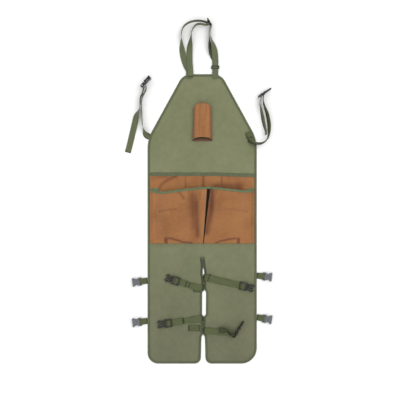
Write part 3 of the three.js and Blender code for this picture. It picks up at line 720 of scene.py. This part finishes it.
def sewn_layer(name, surface, columns, rows, thick, nodes, material, flat, held, rests_on, body="waist"):
    """A closed sheet over the surface (u, v) -> (x, y, z, painted shade), u and v from 0 to 1."""
    grid = [[surface(i / columns, j / rows) for i in range(columns + 1)] for j in range(rows + 1)]
    top, bottom, cloth, dark = [], [], [], []
    for j in range(rows + 1):
        for i in range(columns + 1):
            p = Vector(grid[j][i][:3])
            du = Vector(grid[j][min(columns, i + 1)][:3]) - Vector(grid[j][max(0, i - 1)][:3])
            dv = Vector(grid[min(rows, j + 1)][i][:3]) - Vector(grid[max(0, j - 1)][i][:3])
            normal = du.cross(dv).normalized()
            top.append(tuple(p))
            bottom.append(tuple(p - normal * thick))
            cloth.append((i / columns * flat[0] / MM, j / rows * flat[1] / MM, 0))
            dark.append(grid[j][i][3])
    vertices, faces = two_layers(top, bottom, columns, rows)
    piece = make(name, vertices, faces, material, cloth + cloth, dark + dark)
    sharpen(piece, 60)
    soft(piece, nodes, body, flat, held, rests_on)


POCKET_HALF = 215
TOOL_TOP_Y = 142
TOOL_SEAMS = (-143, -69, 4, 80, 148)
# Creases: a path, its width, its depth and its painted shade.
TOOL_CREASES = [
    ([(-108, 136), (-143, 120), (-169, 99), (-176, 84)], 7, 1.6, 0.55),
    ([(-205, 128), (-150, 133)], 6, 0.8, 0.35),
    ([(4, 138), (4, 84)], 6, 1.2, 0.55),
    ([(80, 136), (80, 90)], 3.5, 0.8, 0.5),
    ([(-69, 136), (-69, 90)], 3.0, 0.8, 0.4),
    ([(112, 136), (112, 90)], 3.0, 0.5, 0.2),
]


def tool_top_y(x):
    return TOOL_TOP_Y - 1 - 4.5 * ease(40, 215, x)


def tool_z(x, y):
    """The tool layer lies nearly flat and opens a little between its stitch lines."""
    near = min(abs(x - seam) for seam in (*TOOL_SEAMS, -POCKET_HALF, POCKET_HALF))
    lift = 0.5 * wave(x / 40, y / 30, 2.2)
    return 3.3 + (1.9 * ease(0, 32, near) + lift) * ease(POCKET_BOTTOM_Y, POCKET_BOTTOM_Y + 90, y)


# The right pocket's inside, where the tool layer gets painted shade, by x and y, and the gap between the
# pockets' edges, by x at its ends, where it gets deep painted shade.
INSIDE_X, INSIDE_Y = (18, 62, 150, 185), (118, 96)
GAP_LEFT_X, GAP_RIGHT_X, GAP_TOP_Y = (3, 19.5), (6.5, 35), 90


def tool_surface(u, v):
    x = lerp(-POCKET_HALF, POCKET_HALF, u)
    y = lerp(POCKET_BOTTOM_Y + 2, tool_top_y(x) - 2, v)
    # Painted shade from creases, from the right pocket's inside and from the gap between the pockets.
    depth, dark = crease_at(TOOL_CREASES, x, y)
    inside = between(*INSIDE_X, x) * ease(*INSIDE_Y, y)
    up = (y - POCKET_BOTTOM_Y) / (GAP_TOP_Y - POUCH_BOTTOM_Y)
    left, right = lerp(*GAP_LEFT_X, up), lerp(*GAP_RIGHT_X, up)
    gap = between(left - 3, left + 1, right - 1, right + 3, x) * ease(GAP_TOP_Y, GAP_TOP_Y - 4, y)
    return x, y, tool_z(x, y) - min(1.6, depth), max(dark, 0.58 * inside, gap)


def tool_tape_surface(u, v):
    """The tape folds over the leather's top edge: v runs from its front hem over the top."""
    x = lerp(-POCKET_HALF - 0.5, POCKET_HALF + 0.5, u)
    y = tool_top_y(x) - 5 + 14.5 * v + 0.5 * wave(x / 12, 0, 4)
    z = tool_z(x, tool_top_y(x)) + 1.0 + 0.6 * sin(pi * v)
    return x, y, z - 2.4 * ease(0.7, 1.0, v), 0


POUCH_BOTTOM_Y = POCKET_BOTTOM_Y + 2
sewn_layer(
    "tool_slots", tool_surface, 150, 60, 1.2, ["tool_pocket_layer"], "leather", (0.44, 0.285), "stretched",
    ["canvas_upper"],
)
sewn_layer(
    "tool_slots_tape", tool_tape_surface, 150, 6, 1.1, ["tool_pocket_binding"], "tape", (0.44, 0.0145),
    "folded", ["tool_slots"],
)

POUCH_LOW = 4.5
POUCH_RISE = 27
POUCH_CORNER_Y = 82.5
PLEAT_SHARE = 0.16  # the front is pleat up to here, and bulge up to the next
WALL_SHARE = 0.93

# Each pocket's outline, as (x, y) points: the pleat's are (x, z), and the height's (x, share of the rise).
FRONT_POCKETS = {
    "left": {
        "side": -1,
        "tape": (0.305, 0.013),
        "shade": 0.0,
        "pleat": [(215, 0), (177, 0.6), (204.5, 1.9), (206, 3.2), (203, 4.4)],
        "top": [
            (-215, 82.5), (-206, 76), (-190, 71.5), (-158, 69.5), (-125, 73), (-88, 78), (-50, 82.5),
            (-7, 87), (30, 90),
        ],
        "inner": GAP_LEFT_X,
        "height": [
            (-206, 0.12), (-165, 0.7), (-115, 0.98), (-75, 1.0), (-52, 0.92), (-27, 0.62), (-8, 0.9),
            (30, 0.88),
        ],
        "creases": [
            ([(-95, 72), (-75, 43)], 5.5, 2.4, 0.5),
            ([(-54, 72), (-49, 54)], 4.5, 1.8, 0.4),
            ([(-41, 76), (-36, 58)], 4.0, 1.6, 0.4),
            ([(-38, 52), (-36, 0), (-28, -70)], 19, 2.0, 0.66),
            ([(-27, 30), (-23, -50), (-19, -108)], 11, 2.8, 0.74),
            ([(-177, -11), (-158, -5), (-103, 0)], 4.5, 1.8, 0.35),
            ([(-195, -8), (-188, -50)], 7, 1.2, 0.2),
            ([(-9, 70), (-9, 40)], 4, 0.8, 0.4),
        ],
        "tuck": [(-150, -119), (-128, -121), (-103, -128), (-76, -137), (-34, -141)],
        "block": (-157, -141),
    },
    "right": {
        "side": 1,
        "tape": (0.27, 0.013),
        # Painted shade over the right pocket's whole front, against the key light from the right.
        "shade": 0.13,
        "pleat": [(215, 0), (186, 0.6), (203.5, 1.9), (205, 3.2), (202, 4.4)],
        "top": [
            (24, 90), (60, 86.5), (98, 82), (134, 78.5), (160, 75.5), (178, 74.5), (196, 75), (207, 78),
            (215, 82.5),
        ],
        "inner": GAP_RIGHT_X,
        "height": [
            (6, 0.5), (30, 0.5), (52, 0.78), (85, 1.0), (120, 1.0), (160, 0.75), (190, 0.35), (206, 0.12),
        ],
        "creases": [
            ([(40, 88), (37, 0), (26, -50), (17, -95)], 15, 2.2, 0.85),
            ([(60, 84), (55, 60)], 4.5, 1.6, 0.45),
            ([(80, 30), (100, 36)], 6, 1.0, 0.2),
            ([(91, 1), (134, -2), (188, -11)], 4.5, 1.8, 0.38),
            ([(60, -130), (100, -100)], 8, 1.2, 0.2),
        ],
        "tuck": [(46, -141), (88, -129), (112, -124), (134, -121), (148, -122)],
        "block": (141, 157),
    },
}


def pouch_surface(pocket, u, v):
    """The front of a pocket from its outer seam, through the pleat, over the bulge to the gap."""
    side, pleat = pocket["side"], pocket["pleat"]
    inner = lerp(*pocket["inner"], v)
    fullness = 0.5 + 0.5 * v
    shoulder = POUCH_LOW + pleat[-1][1] * fullness
    rise = POUCH_RISE * (1 - (1 - v) ** 2.3)
    if u < PLEAT_SHARE:
        place = u / PLEAT_SHARE * (len(pleat) - 1)
        k = min(len(pleat) - 2, int(place))
        x, z = (lerp(pleat[k][n], pleat[k + 1][n], place - k) for n in (0, 1))
        x, z = side * x, POUCH_LOW + z * fullness
    elif u < WALL_SHARE:
        t = (u - PLEAT_SHARE) / (WALL_SHARE - PLEAT_SHARE)
        x = lerp(side * pleat[-1][0], inner, t)
        z = shoulder + rise * table(pocket["height"], x) * ease(0, 0.3, t)
    else:
        t = (u - WALL_SHARE) / (1 - WALL_SHARE)
        x = inner - side * 1.2 * sin(pi * t)
        z = lerp(shoulder + rise * table(pocket["height"], inner), POUCH_LOW + 0.1, t)
    top = POUCH_CORNER_Y if u < PLEAT_SHARE * 0.45 else table(pocket["top"], x)
    y = lerp(POUCH_BOTTOM_Y, top, v)
    depth, dark = crease_at(pocket["creases"], x, y)
    # Painted shade: the right pocket's whole front is a little darker, against the key light that falls on it.
    dark = max(dark, pocket["shade"])
    if PLEAT_SHARE < u < WALL_SHARE:
        swell = wave(x / 30, y / 38, 7 + side) + 0.5 * wave(x / 13, y / 16, 3)
        z += (0.9 * swell - depth) * ease(0, 0.25, v) * ease(PLEAT_SHARE, PLEAT_SHARE + 0.1, u)
        tuck = pocket["tuck"]
        line = table(tuck, x)
        ends = between(tuck[0][0], tuck[0][0] + 12, tuck[-1][0] - 12, tuck[-1][0], x)
        z += 3.2 * ends * between(line - 0.5, line + 3.5, line + 8, line + 55, y)
        # Painted shade along the tuck's fold line.
        dark = max(dark, 0.9 * ends * exp(-(((y - line) / 4.2) ** 2)))
        # Painted shade in the fold block at the pocket's bottom.
        first, last = pocket["block"]
        dark = max(dark, 0.85 * ease(-114, -121, y) * between(first, first + 2, last - 2, last, x))
    # Painted shade, full, on the wall down into the gap between the pockets.
    if u >= WALL_SHARE:
        dark = 1.0
    return x, y, max(POUCH_LOW, z), dark


def pouch_tape_surface(pocket, u, v):
    """The tape over a pocket's mouth: v runs from its front hem, over the edge and down inside.

    The left pocket's tape reaches on across the gap in the last twentieth of u.
    """
    reach = 0
    if pocket["side"] < 0:
        reach = max(0, u - 0.95) / 0.05
        u = 0.979 * min(u, 0.95)
    else:
        u = WALL_SHARE * (1 - u)
    x, y, z, _ = pouch_surface(pocket, min(u, WALL_SHARE - 0.0001), 1.0)
    y += 9.0 * min(1, v / 0.8) - 7.2 + 0.5 * wave((x + 15 * reach) / 9, 2, 5)
    z += 1.25 - 7 * reach**2 + 0.4 * sin(pi * v) - 3 * ease(0.8, 1, v)
    return x + 15 * reach, y, z, 0


for word, pocket in FRONT_POCKETS.items():
    sewn_layer(
        f"front_pocket_panel_{word}",
        lambda u, v: pouch_surface(pocket, u if pocket["side"] < 0 else 1 - u, v),
        140, 60, 1.2, [f"front_pocket_{word}"], "leather", (0.335, 0.232), "gathered", ["tool_slots"],
    )
    sewn_layer(
        f"front_pocket_tape_{word}",
        lambda u, v: pouch_tape_surface(pocket, u, v),
        140, 8, 0.9, [f"front_pocket_binding_{word}"], "pocket_tape", pocket["tape"], "folded",
        [f"front_pocket_panel_{word}"],
    )

CHEST_BOTTOM_Y, CHEST_TOP_Y = 279, 434
CHEST_BOTTOM_HALF, CHEST_TOP_HALF = 41.5, 37.5
CHEST_RISE = 29.5


def chest_section(u, half, rise):
    """The half tube's section: u from 0, the left seam, to 1, the right one."""
    angle = pi * (1 - u)
    return (half * copysign(abs(cos(angle)) ** 0.92, cos(angle)), rise * sin(angle) ** 0.85)


def chest_surface(u, v):
    half = lerp(CHEST_BOTTOM_HALF, CHEST_TOP_HALF, v)
    from_top = (1 - v) * (CHEST_TOP_Y - CHEST_BOTTOM_Y)
    corner = max(0, 1 - from_top / 14)
    half -= 7 * corner**2
    rise = CHEST_RISE * (1 - 0.16 * corner**2)
    x, z = chest_section(u, half, rise)
    arch = 9 * (1 - (x / 42) ** 2)
    mouth = 2 + 12 * sin(pi * u) ** 0.9
    y = lerp(CHEST_BOTTOM_Y + mouth, CHEST_TOP_Y - 9 + arch, v)
    wrinkle = 0.9 * wave(x / 9, y / 55, 1.5) + 0.5 * wave(x / 5, y / 30, 8)
    # Painted shade at the pocket's sides and along its top edge.
    dark = max(0.75 * ease(0.62, 1.0, abs(x) / half), 0.7 * ease(5, 0, from_top))
    return x + 1, y, 2.4 + max(0, z + wrinkle * sin(pi * u)), dark


def gusset_surface(u, v):
    """The lower end rises from the canvas into the pocket, well below its mouth, and has painted shade as the
    pocket's dark inside.
    """
    x, z = chest_section(u, CHEST_BOTTOM_HALF - 2.5, CHEST_RISE - 9)
    y = CHEST_BOTTOM_Y + 0.5 + 9 * v * sin(pi * u) ** 0.5
    return x + 1, y, 3.2 + z * v**1.4, 0.7 + 0.35 * v**0.7


sewn_layer(
    "chest_pouch", chest_surface, 56, 60, 1.3, ["chest_pocket"], "chest_leather", (0.118, 0.152), "gathered",
    ["canvas_upper"], "bib",
)
sewn_layer(
    "chest_pouch_gusset", gusset_surface, 40, 8, 1.0, ["chest_pocket_gusset"], "leather", (0.085, 0.019),
    "stretched", ["canvas_upper"], "bib",
)

# ---- webbing ----


def catmull(points, place):
    """Point and tangent of a uniform Catmull-Rom curve, place counted in spans."""
    k = min(int(place), len(points) - 2)
    t = place - k
    padded = [2 * points[0] - points[1], *points, 2 * points[-1] - points[-2]]
    before, a, b, after = padded[k : k + 4]
    ta, tb = (b - before) / 2, (after - a) / 2
    c2 = 3 * (b - a) - 2 * ta - tb
    c3 = 2 * (a - b) + ta + tb
    return a + ta * t + c2 * t * t + c3 * t**3, ta + 2 * c2 * t + 3 * c3 * t * t


LOWER_PROFILE = [(-1, -0.25), (-0.94, -1), (-0.55, -1), (0, -1), (0.55, -1), (0.94, -1), (1, -0.25)]
WEB_PROFILE = LOWER_PROFILE + [(-w, -t) for w, t in LOWER_PROFILE]
STEPS = 5  # rings along each span of a route


def strap(name, route, nodes, body, material="leg_webbing", held="laid", shade=None):
    """Webbing along a route of (x, y, z, heading, roll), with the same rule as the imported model.

    shade(run, w) is its darkness from 0 to 1, at millimetres along it and from -1 to 1 across it.
    """
    points = [Vector(p[:3]) for p in route]
    vertices, cloth, painted_shade_and_seals = [], [], []
    run = 0
    last = points[0]
    rings = (len(route) - 1) * STEPS + 1
    for k in range(rings):
        place = k / STEPS
        span = min(int(place), len(route) - 2)
        heading, roll = (radians(lerp(route[span][n], route[span + 1][n], place - span)) for n in (3, 4))
        middle, tangent = catmull(points, place)
        tangent.normalize()
        across = Vector((cos(heading) * cos(roll), sin(heading) * cos(roll), sin(roll)))
        across = (across - tangent * across.dot(tangent)).normalized()
        through = across.cross(tangent)
        run += (middle - last).length
        last = middle
        for w, t in WEB_PROFILE:
            fray = 0.12 * wave(run / 5, w * 3, 1)
            side = across * w * (WEB_WIDTH / 2 - 0.1 + fray)
            vertices.append(middle + side + through * (t * WEB / 2 * 0.96))
            cloth.append((w * WEB_WIDTH / 2, run, 0))
            painted_shade_and_seals.append(shade(run, w) if shade else 0)
    # The cut end of any webbing is dark, where it is sealed.
    painted_shade_and_seals = [max(dark, 0.8 * ease(run - 5, run - 2.5, place[1])) for dark, place in zip(painted_shade_and_seals, cloth)]
    piece = make(name, vertices, tube_faces(len(WEB_PROFILE), rings), material, cloth, painted_shade_and_seals)
    sharpen(piece, 55)
    soft(piece, nodes, body, (0.025, round(run * MM, 3)), held, ["floor"])


def route_in(place, pairs, heading, roll=0):
    """A webbing route in a buckle's own x and z, turned into route points."""
    stand = place.get("stand", 0) * pi / 2
    matrix = Matrix.Rotation(radians(place["turn"]), 4, "Z") @ Matrix.Rotation(stand, 4, "X")
    made = []
    for x, z in pairs:
        p = matrix @ Vector((x, 0, z)) + Vector(place["at"])
        made.append((*p, heading, roll))
    return made


# How webbing goes through a buckle, as (x, z) in the buckle's own frame.
THREADED = [
    (2, 0.95), (8, 0.95), (13.4, 1.3), (17.2, 3.4), (17.9, 6), (16.2, 8.5), (13.2, 8.6), (11.4, 6.2),
    (10.2, 3.7), (6.5, 2.85), (1.5, 2.85),
]
SLACK_THREAD = [(19.2, -3), (19.2, 2), (18.6, 6), (16.4, 8.9), (13, 8.9), (10.8, 6), (10.2, 2), (10.2, -3)]
ROUND_END_BAR = [
    (32, 8.4), (28, 9.2), (24.4, 9.3), (21.9, 7.8), (21.8, 4.4), (24, 2.4), (27.6, 2.2), (32, 2.2),
]

BAR_Z = 5.5
BAR_RADIUS = 2
STUB_LENGTH = 23
STUB_EDGE = BODY_HALF + 1.2
STUB_LOOP = BAR_RADIUS + GAP + WEB / 2 + 0.1  # from the bar's middle to the webbing's
STUBS = {  # y at the leg's edge, side and turn
    "left_upper": (-296, -1, 187),
    "left_lower": (-462, -1, 187),
    "right_upper": (-275, 1, -6),
    "right_lower": (-447, 1, -10),
}


def stub_route(y0, side, turn):
    """Out of the edge tape, round the receiver's bar and back."""
    swing = turn if side > 0 else turn - 180
    lean = tan(radians(swing)) * side
    bar_x = STUB_EDGE + STUB_LENGTH + BAR_RADIUS
    round_bar = [
        (bar_x + STUB_LOOP * x, BAR_Z + STUB_LOOP * z)
        for x, z in ((0, -1), (0.72, -0.72), (1, 0), (0.72, 0.72), (0, 1))
    ]
    out = [(STUB_EDGE, 1.05), (STUB_EDGE + 2.5, 1.05), (STUB_EDGE + 7, 1.1), (bar_x - 7, BAR_Z - STUB_LOOP)]
    back = [
        (bar_x - 4.5, BAR_Z + STUB_LOOP * 0.6), (STUB_EDGE + 9, 4.0), (STUB_EDGE + 2.5, 3.1),
        (STUB_EDGE, 2.9),
    ]
    route = []
    for x, z in out + round_bar + back:
        run = x - STUB_EDGE + 2.5
        y = y0 + lean * (run * run / 20 if run < 10 else run - 5)
        route.append((side * x, y, z, side * 90 + swing * min(1, max(0, (x - STUB_EDGE - 1) / 10)), 0))
    return route


LEG = {-1: "leg_left", 1: "leg_right"}
for word, (y0, side, turn) in STUBS.items():
    strap(f"receiver_stub_{word}", stub_route(y0, side, turn), [f"stub_{word}"], LEG[side], held="folded")

SLIT_WALL_X = SLIT_HALF - GAP - WEB / 2
LANDING_X = SLIT_HALF + 4  # where the webbing lies flat on its own leg
OVER_TAB = 4.9
TAIL_OVER = 2
TAIL_START = 14


def slit_turn(side, y, slope=0.0):
    """The webbing comes up between the two legs' edges and turns over its own leg's edge."""
    edge = side * table(SLIT_MIDDLE, y)
    places = [(edge, 0.9), (edge + 0.1, 2.7), (edge + 1.5, 4.7), (edge + 4.5, 5.9)]
    if edge < 0:
        places.append((3, 6.7))
    places.append((LANDING_X, 7.4))
    bow = [slope * (LANDING_X + (x + SLIT_WALL_X) ** 2 / 56) for x, _ in places]
    return [(side * x, y + shift, z, side * 90, 0) for (x, z), shift in zip(places, bow)]


def slit_bend(word, side, y):
    """The bend across the slit, from the leg that the webbing is sewn to."""
    return LEG[side], f"leg_strap_{word}", (side * 2 * MM, y * MM, 0), (side * 16 * MM, y * MM, 0)


def slit_shade(run, w):
    return 0.9 * ease(15, 4, run)


def strap_height(distance):
    return LYING_Z + OVER_TAB * ease(58, 28, distance)


def sewn_tab(word, side, y, length):
    """A strap's end on its leg, sewn down in a box with a cross and two end rows."""
    route = [(side * x, y, TAB_Z, side * 90, 0) for x in (length, SLIT_HALF + 12, SLIT_HALF + 1.2)]
    strap(
        f"sewn_tab_{word}", route, [f"strap_tab_{word}"], LEG[side],
        shade=lambda run, w: 0.85 * ease(4, 1.5, run),
    )
    (x0, x1), (y0, y1) = (length - 3.5, SLIT_HALF + 10.5), (y - 9.5, y + 9.5)
    box = [(x0, y0), (x1, y0), (x1, y1), (x0, y1), (x0, y0)]
    cross = [box[0], box[2]], [box[3], box[1]]
    ends = [[(length - d, y - 11), (length - d, y + 11)] for d in (1, 2.2)]
    rows = [[(side * x, yy, TAB_Z + 0.78) for x, yy in path] for path in (box, *cross, *ends)]
    stitches(f"sewn_tab_stitching_{word}", rows, "dark_thread", LEG[side], pitch=2.2, length=1.9, width=0.9)


# Side, hinge's y, turn, reach to the insert, tail, the tab's y and length, and places of bar tacks.
LEG_STRAPS = {
    "left_upper": (-1, -331, 162, 98, 30, -331, 36, (52, 53.3, 54.6, 55.9, 57.2, 58.5)),
    "left_lower": (-1, -451, 188, 125, 46, -491, 57, (74.7, 76, 77.3, 78.6)),
    "right_upper": (1, -279, -13, 157, 131, -281, 36, ()),
}


def leg_strap(word, side, y0, turn, reach, tail, tab_y, tab_length, tacks):
    """Webbing up out of the slit, over its tab, through the insert and back over itself."""
    heading = turn + 90 if side > 0 else turn - 270
    way = Vector((cos(radians(turn)), sin(radians(turn))))

    def along(d, z):
        return d * way.x, y0 + d * way.y, z, heading, 0

    route = slit_turn(side, y0, side * tan(radians(turn)))
    route += [along(d, strap_height(d)) for d in (22, 33, 45, 58)]
    route += [along((reach + 50) / 2, LYING_Z), along(reach - 12, LYING_Z)]
    route += route_in({"at": along(reach, CLOTH_TOP + GAP)[:3], "turn": turn}, THREADED, heading)
    spare_steps = ceil((tail - TAIL_START) / 20)
    for k in range(spare_steps + 1):
        d = reach - lerp(TAIL_START, tail, k / spare_steps)
        lift = 2.2 * sin(pi * k / spare_steps) if k < spare_steps else 0.4
        route.append(along(d, strap_height(d) + TAIL_OVER + lift))
    strap(f"leg_webbing_{word}", route, [f"leg_strap_{word}"], slit_bend(word, side, y0), shade=slit_shade)
    # Bar tacks of near-black thread, in wide blocks that also serve as painted shade where the tail's folded
    # end casts its shadow.
    if tacks:
        half_row = Vector((-way.y, way.x, 0)) * 11
        middles = [Vector(along(d, strap_height(d) + 0.75)[:3]) for d in tacks]
        rows = [[middle - half_row, middle + half_row] for middle in middles]
        body = f"leg_strap_{word}"
        stitches(f"bar_tack_{word}", rows, "dark_thread", body, pitch=1.6, length=1.7, width=1.1, rise=0.5)
    sewn_tab(word, side, tab_y, tab_length)


for word, numbers in LEG_STRAPS.items():
    leg_strap(word, *numbers)

STANDING_Z = 18
wave_buckle = {"at": (141, -516, STANDING_Z + 1), "turn": 58, "stand": -1}
wave_route = slit_turn(1, -503) + [
    (20, -503, 7.9, 90, 0), (34, -503.5, 6.8, 90, 0), (50, -504, 4.6, 90, 0), (66, -505, 9, 90, 0),
    (80, -507, 12, 92, 8), (94, -511, 12, 98, 25), (108, -516, 14.6, 110, 55), (122, -522, 17.4, 125, 82),
    (133, -525, 18.6, 142, 90),
]
wave_tail = [
    (133, -518, 19, 145, 90), (122, -511, 19.4, 125, 78), (109, -504, 19.6, 108, 50), (96, -499, 19, 96, 22),
    (82, -497, 18.6, 91, 6), (70, -496, 16, 90, 0),
]
strap(
    "leg_webbing_right_lower", wave_route + route_in(wave_buckle, THREADED, 148, 90) + wave_tail,
    ["leg_strap_right_lower"], slit_bend("right_lower", 1, -503),
    shade=lambda run, w: max(slit_shade(run, w), 0.7 * ease(105, 118, run)),
)
sewn_tab("right_lower", 1, -503, 36)

left_receiver = {"at": (-246.5, 497, STANDING_Z), "turn": 47, "stand": -1}
left_rise = [
    (-217.4, 298.2, 1.1, 70, 0), (-223.4, 300.4, 1.6, 68, 0), (-231, 306, 7, 48, 26),
    (-238, 317, 12.4, 24, 58), (-243, 334, 14.4, 8, 84), (-245.4, 352, 14.4, 2, 90),
    (-246.8, 372, 13.6, 0, 90), (-248, 405, 13.8, 0, 90), (-249, 434, 14.4, 0, 90),
    (-246, 456, 15.6, 0, 90), (-237.5, 474, 17, 0, 90), (-229.5, 491, 17.8, 0, 90),
]
left_fall = [
    (-240.5, 493, 18, 0, 90), (-244, 476, 17.6, 0, 90), (-252.5, 458, 17.2, 0, 90),
    (-254.5, 436, 16.6, 0, 90), (-255.5, 418, 16.4, 10, 84), (-261, 403, 15.2, 20, 62),
    (-270, 384, 11.5, 20, 30), (-277.5, 352, 5.5, 14, 8), (-288, 310, 2, 15, 0), (-298, 268, 1.4, 14, 0),
    (-307, 233, 1.2, 14, 0),
]
strap(
    "waist_webbing_left", left_rise + route_in(left_receiver, SLACK_THREAD, 0, 90) + left_fall,
    ["waist_strap_left"], "waist_strap_left", "webbing",
    shade=lambda run, w: max(
        0.75 * ease(48, 30, run) * ease(0.4, 0.9, abs(w)),
        0.6 * between(140, 190, 330, 390, run),
        0.45 * between(330, 350, 400, 430, run) * ease(0.5, 0.9, abs(w)),
    ),
)

right_insert = {"at": (233, 455, STANDING_Z), "turn": 33, "stand": -1}
right_tab = [(x, y, TAB_Z, 198, 0) for x, y in ((188, 318), (192.3, 305), (196.4, 292.2))]
right_rise = [
    (197.4, 290.1, TAB_Z + 0.4, 200, 0), (201, 282, 7.2, 210, 6), (208, 275.5, 13, 226, 32),
    (217, 271, 17, 246, 54), (228, 268.5, 17.6, 262, 60), (240, 269.5, 16.4, 280, 62),
    (254, 275, 15, 320, 72), (266, 285, 14, 350, 82), (272.5, 300, 13.8, 360, 78),
    (275, 324, 13.8, 360, 64), (274.5, 350, 14, 360, 58), (267.5, 388, 14.8, 360, 62),
    (256, 420, 16, 360, 80), (250.5, 442, 17.4, 360, 90),
]
right_fall = [
    (239.5, 449, 18, 0, 90), (236.5, 434, 17.8, 0, 90), (239, 417, 17.2, 0, 84), (244, 397, 16.4, 0, 70),
    (249, 371, 15.4, 0, 62), (254.5, 345, 14.4, 0, 66), (261.5, 319, 14, 0, 78), (262, 304, 13.8, 0, 84),
]
strap(
    "waist_webbing_tab", right_tab, ["waist_tab_right"], "bib",
    shade=lambda run, w: 0.9 * ease(0.4, 0.85, w) * ease(6, 14, run),
)
# The right waist strap takes the darker leg webbing, as painted shade for its shaded faces.
strap(
    "waist_webbing_right", right_rise + route_in(right_insert, SLACK_THREAD, 0, 90) + right_fall,
    ["waist_strap_right"], "waist_strap_right",
    shade=lambda run, w: max(
        0.9 * ease(75, 60, run) * ease(0.1, 0.6, w),
        0.55 * ease(130, 160, run) * ease(0.2, -0.4, w),
        0.5 * between(215, 235, 300, 340, run),
    ),
)

NECK_X = 54
NECK_START_Y = BIB_TOP_Y + 0.8
adjuster = {"at": (17, 775, STANDING_Z), "turn": -62, "stand": -1}


def neck_tab_route(side):
    return [(side * NECK_X, y, TAB_Z, 0, 0) for y in (BIB_TOP_Y - 18, BIB_TOP_Y - 6)]


neck_rise = [
    (-NECK_X, NECK_START_Y, TAB_Z, 0, 0), (-NECK_X, NECK_START_Y + 6, 4.3, 0, 0), (-56, 574, 4.4, 3, 0),
    (-66, 592, 4.2, 10, 3), (-76, 622, 4.4, 10, 6), (-82, 652, 7.4, 8, 20), (-85.5, 682, 12.4, -4, 60),
    (-86, 706, 14, -10, 88), (-84, 728, 14, -30, 90), (-76, 748, 14.6, -50, 90), (-58, 763, 15.4, -70, 90),
    (-32, 771, 16.4, -84, 90), (-8, 771.5, 17.4, -90, 90), (8, 768, 18, -90, 90),
]
neck_fall = [
    (13, 754.6, 18, -90, 90), (-2, 758, 17.6, -88, 90), (-20, 757, 17, -80, 90), (-35, 745, 16.2, -50, 90),
    (-43.5, 724, 15, -20, 88), (-47, 700, 13.4, 0, 66), (-50, 672, 9.6, 4, 28), (-52, 642, 7.6, 2, 6),
    (-52, 612, 7.6, 0, 0), (-50.5, 588, 7.8, 0, 0), (-49, 566, 8, 0, 0), (-48.5, 553, 7.4, 0, 0),
    (-48.5, 545, 6.4, 0, 0),
]
slack = route_in(adjuster, reversed(SLACK_THREAD), 0, 90)
strap(
    "neck_webbing_left", neck_tab_route(-1) + neck_rise + slack + neck_fall,
    ["neck_strap_left", "neck_tab_left"], NECK_BEND, "webbing",
)
GLIDE_Y, GLIDE_LENGTH, GLIDE_TRAVEL = 584, 12, 20
BACK_LAYER_Z, FRONT_LAYER_Z = 1.2, 5.05
STRAIGHT_YS = (GLIDE_Y - 13, GLIDE_Y, GLIDE_Y + 17, GLIDE_Y + GLIDE_LENGTH / 2 + GLIDE_TRAVEL + 3)
neck_front = [
    (NECK_X, NECK_START_Y, TAB_Z, 0, 0), (NECK_X, NECK_START_Y + 6, 4.3, 0, 0),
    *((NECK_X, y, FRONT_LAYER_Z, 0, 0) for y in STRAIGHT_YS), (53, 636, 6.4, 0, -6), (50, 656, 9, 0, -20),
    (44.5, 678, 13, 0, -48), (38.5, 698, 15.4, 0, -78), (35.5, 718, 16.6, 0, -90), (36.5, 738, 17.6, 0, -90),
]
neck_back = [
    (30.5, 734, 17.4, 0, -90), (28.5, 714, 16, 0, -90), (30, 692, 14.4, 0, -78), (33, 670, 11, 0, -50),
    (37.5, 650, 7.5, 0, -28), (44, 634, 3.6, 0, -10),
    *((NECK_X, y, BACK_LAYER_Z, 0, 0) for y in reversed(STRAIGHT_YS)),
]
round_end_bar = route_in(adjuster, ROUND_END_BAR, 0, -90)
strap(
    "neck_webbing_right", neck_tab_route(1) + neck_front + round_end_bar + neck_back,
    ["neck_strap_right", "neck_tab_right"], NECK_BEND, "webbing",
    shade=lambda run, w: 0.72 * ease(225, 250, run),
)

# ---- moulded buckles ----

EDGE_ROUNDING = 0.0005  # metres
BODY_OF = {n: b for b, names in frame["record"]["behaviour"]["bodies"].items() for n in names}


def moulded(node):
    """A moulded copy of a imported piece, with rounded edges."""
    source = frame["nodes"][node]
    bm = bmesh.new()
    bm.from_mesh(source.data)
    bmesh.ops.remove_doubles(bm, verts=bm.verts, dist=1e-6)
    bmesh.ops.dissolve_limit(bm, angle_limit=radians(4), verts=bm.verts, edges=bm.edges)
    sharp = [e for e in bm.edges if len(e.link_faces) == 2 and e.calc_face_angle(0) > radians(35)]
    bmesh.ops.bevel(
        bm, geom=sharp, offset=EDGE_ROUNDING, segments=2, profile=0.6, affect="EDGES", clamp_overlap=True,
    )
    mesh = bpy.data.meshes.new(f"moulded_{node}")
    bm.to_mesh(mesh)
    bm.free()
    # Receivers take the lighter grey plastic, partly painted highlights and reflection.
    piece = shown(mesh.name, mesh, "grey_plastic_painted_highlights" if node.startswith("receiver_") else "plastic")
    sharpen(piece)
    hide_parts(node)
    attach(piece, BODY_OF[node])


MOULDED_WORDS = {"receiver", "insert", "arm", "adjuster", "triglide"}
for node in frame["nodes"]:
    if MOULDED_WORDS & set(node.split("_")):
        moulded(node)

# ---- seams on the canvas and leather ----


def flat_row(points):
    """A stitch path that follows the canvas."""
    return [(x, y, CLOTH_TOP - dip(x, y) + 0.05) for x, y in densified([Vector(p) for p in points], 4)]


SEAM_Y = -153.5
seam_rows = [flat_row([(-214, SEAM_Y), (214, SEAM_Y)]), flat_row([(3, -146), (3, -157)])]
stitches("pocket_seam_stitching", seam_rows, "thread", "waist")
slot_lines = [densified([Vector((x, 128)), Vector((x, 60))], 4) for x in TOOL_SEAMS]
slot_rows = [[(x + 0.4, y, tool_z(x, y) + 0.1) for x, y in line] for line in slot_lines]
stitches("tool_slot_stitching", slot_rows, "brown_thread", "waist")
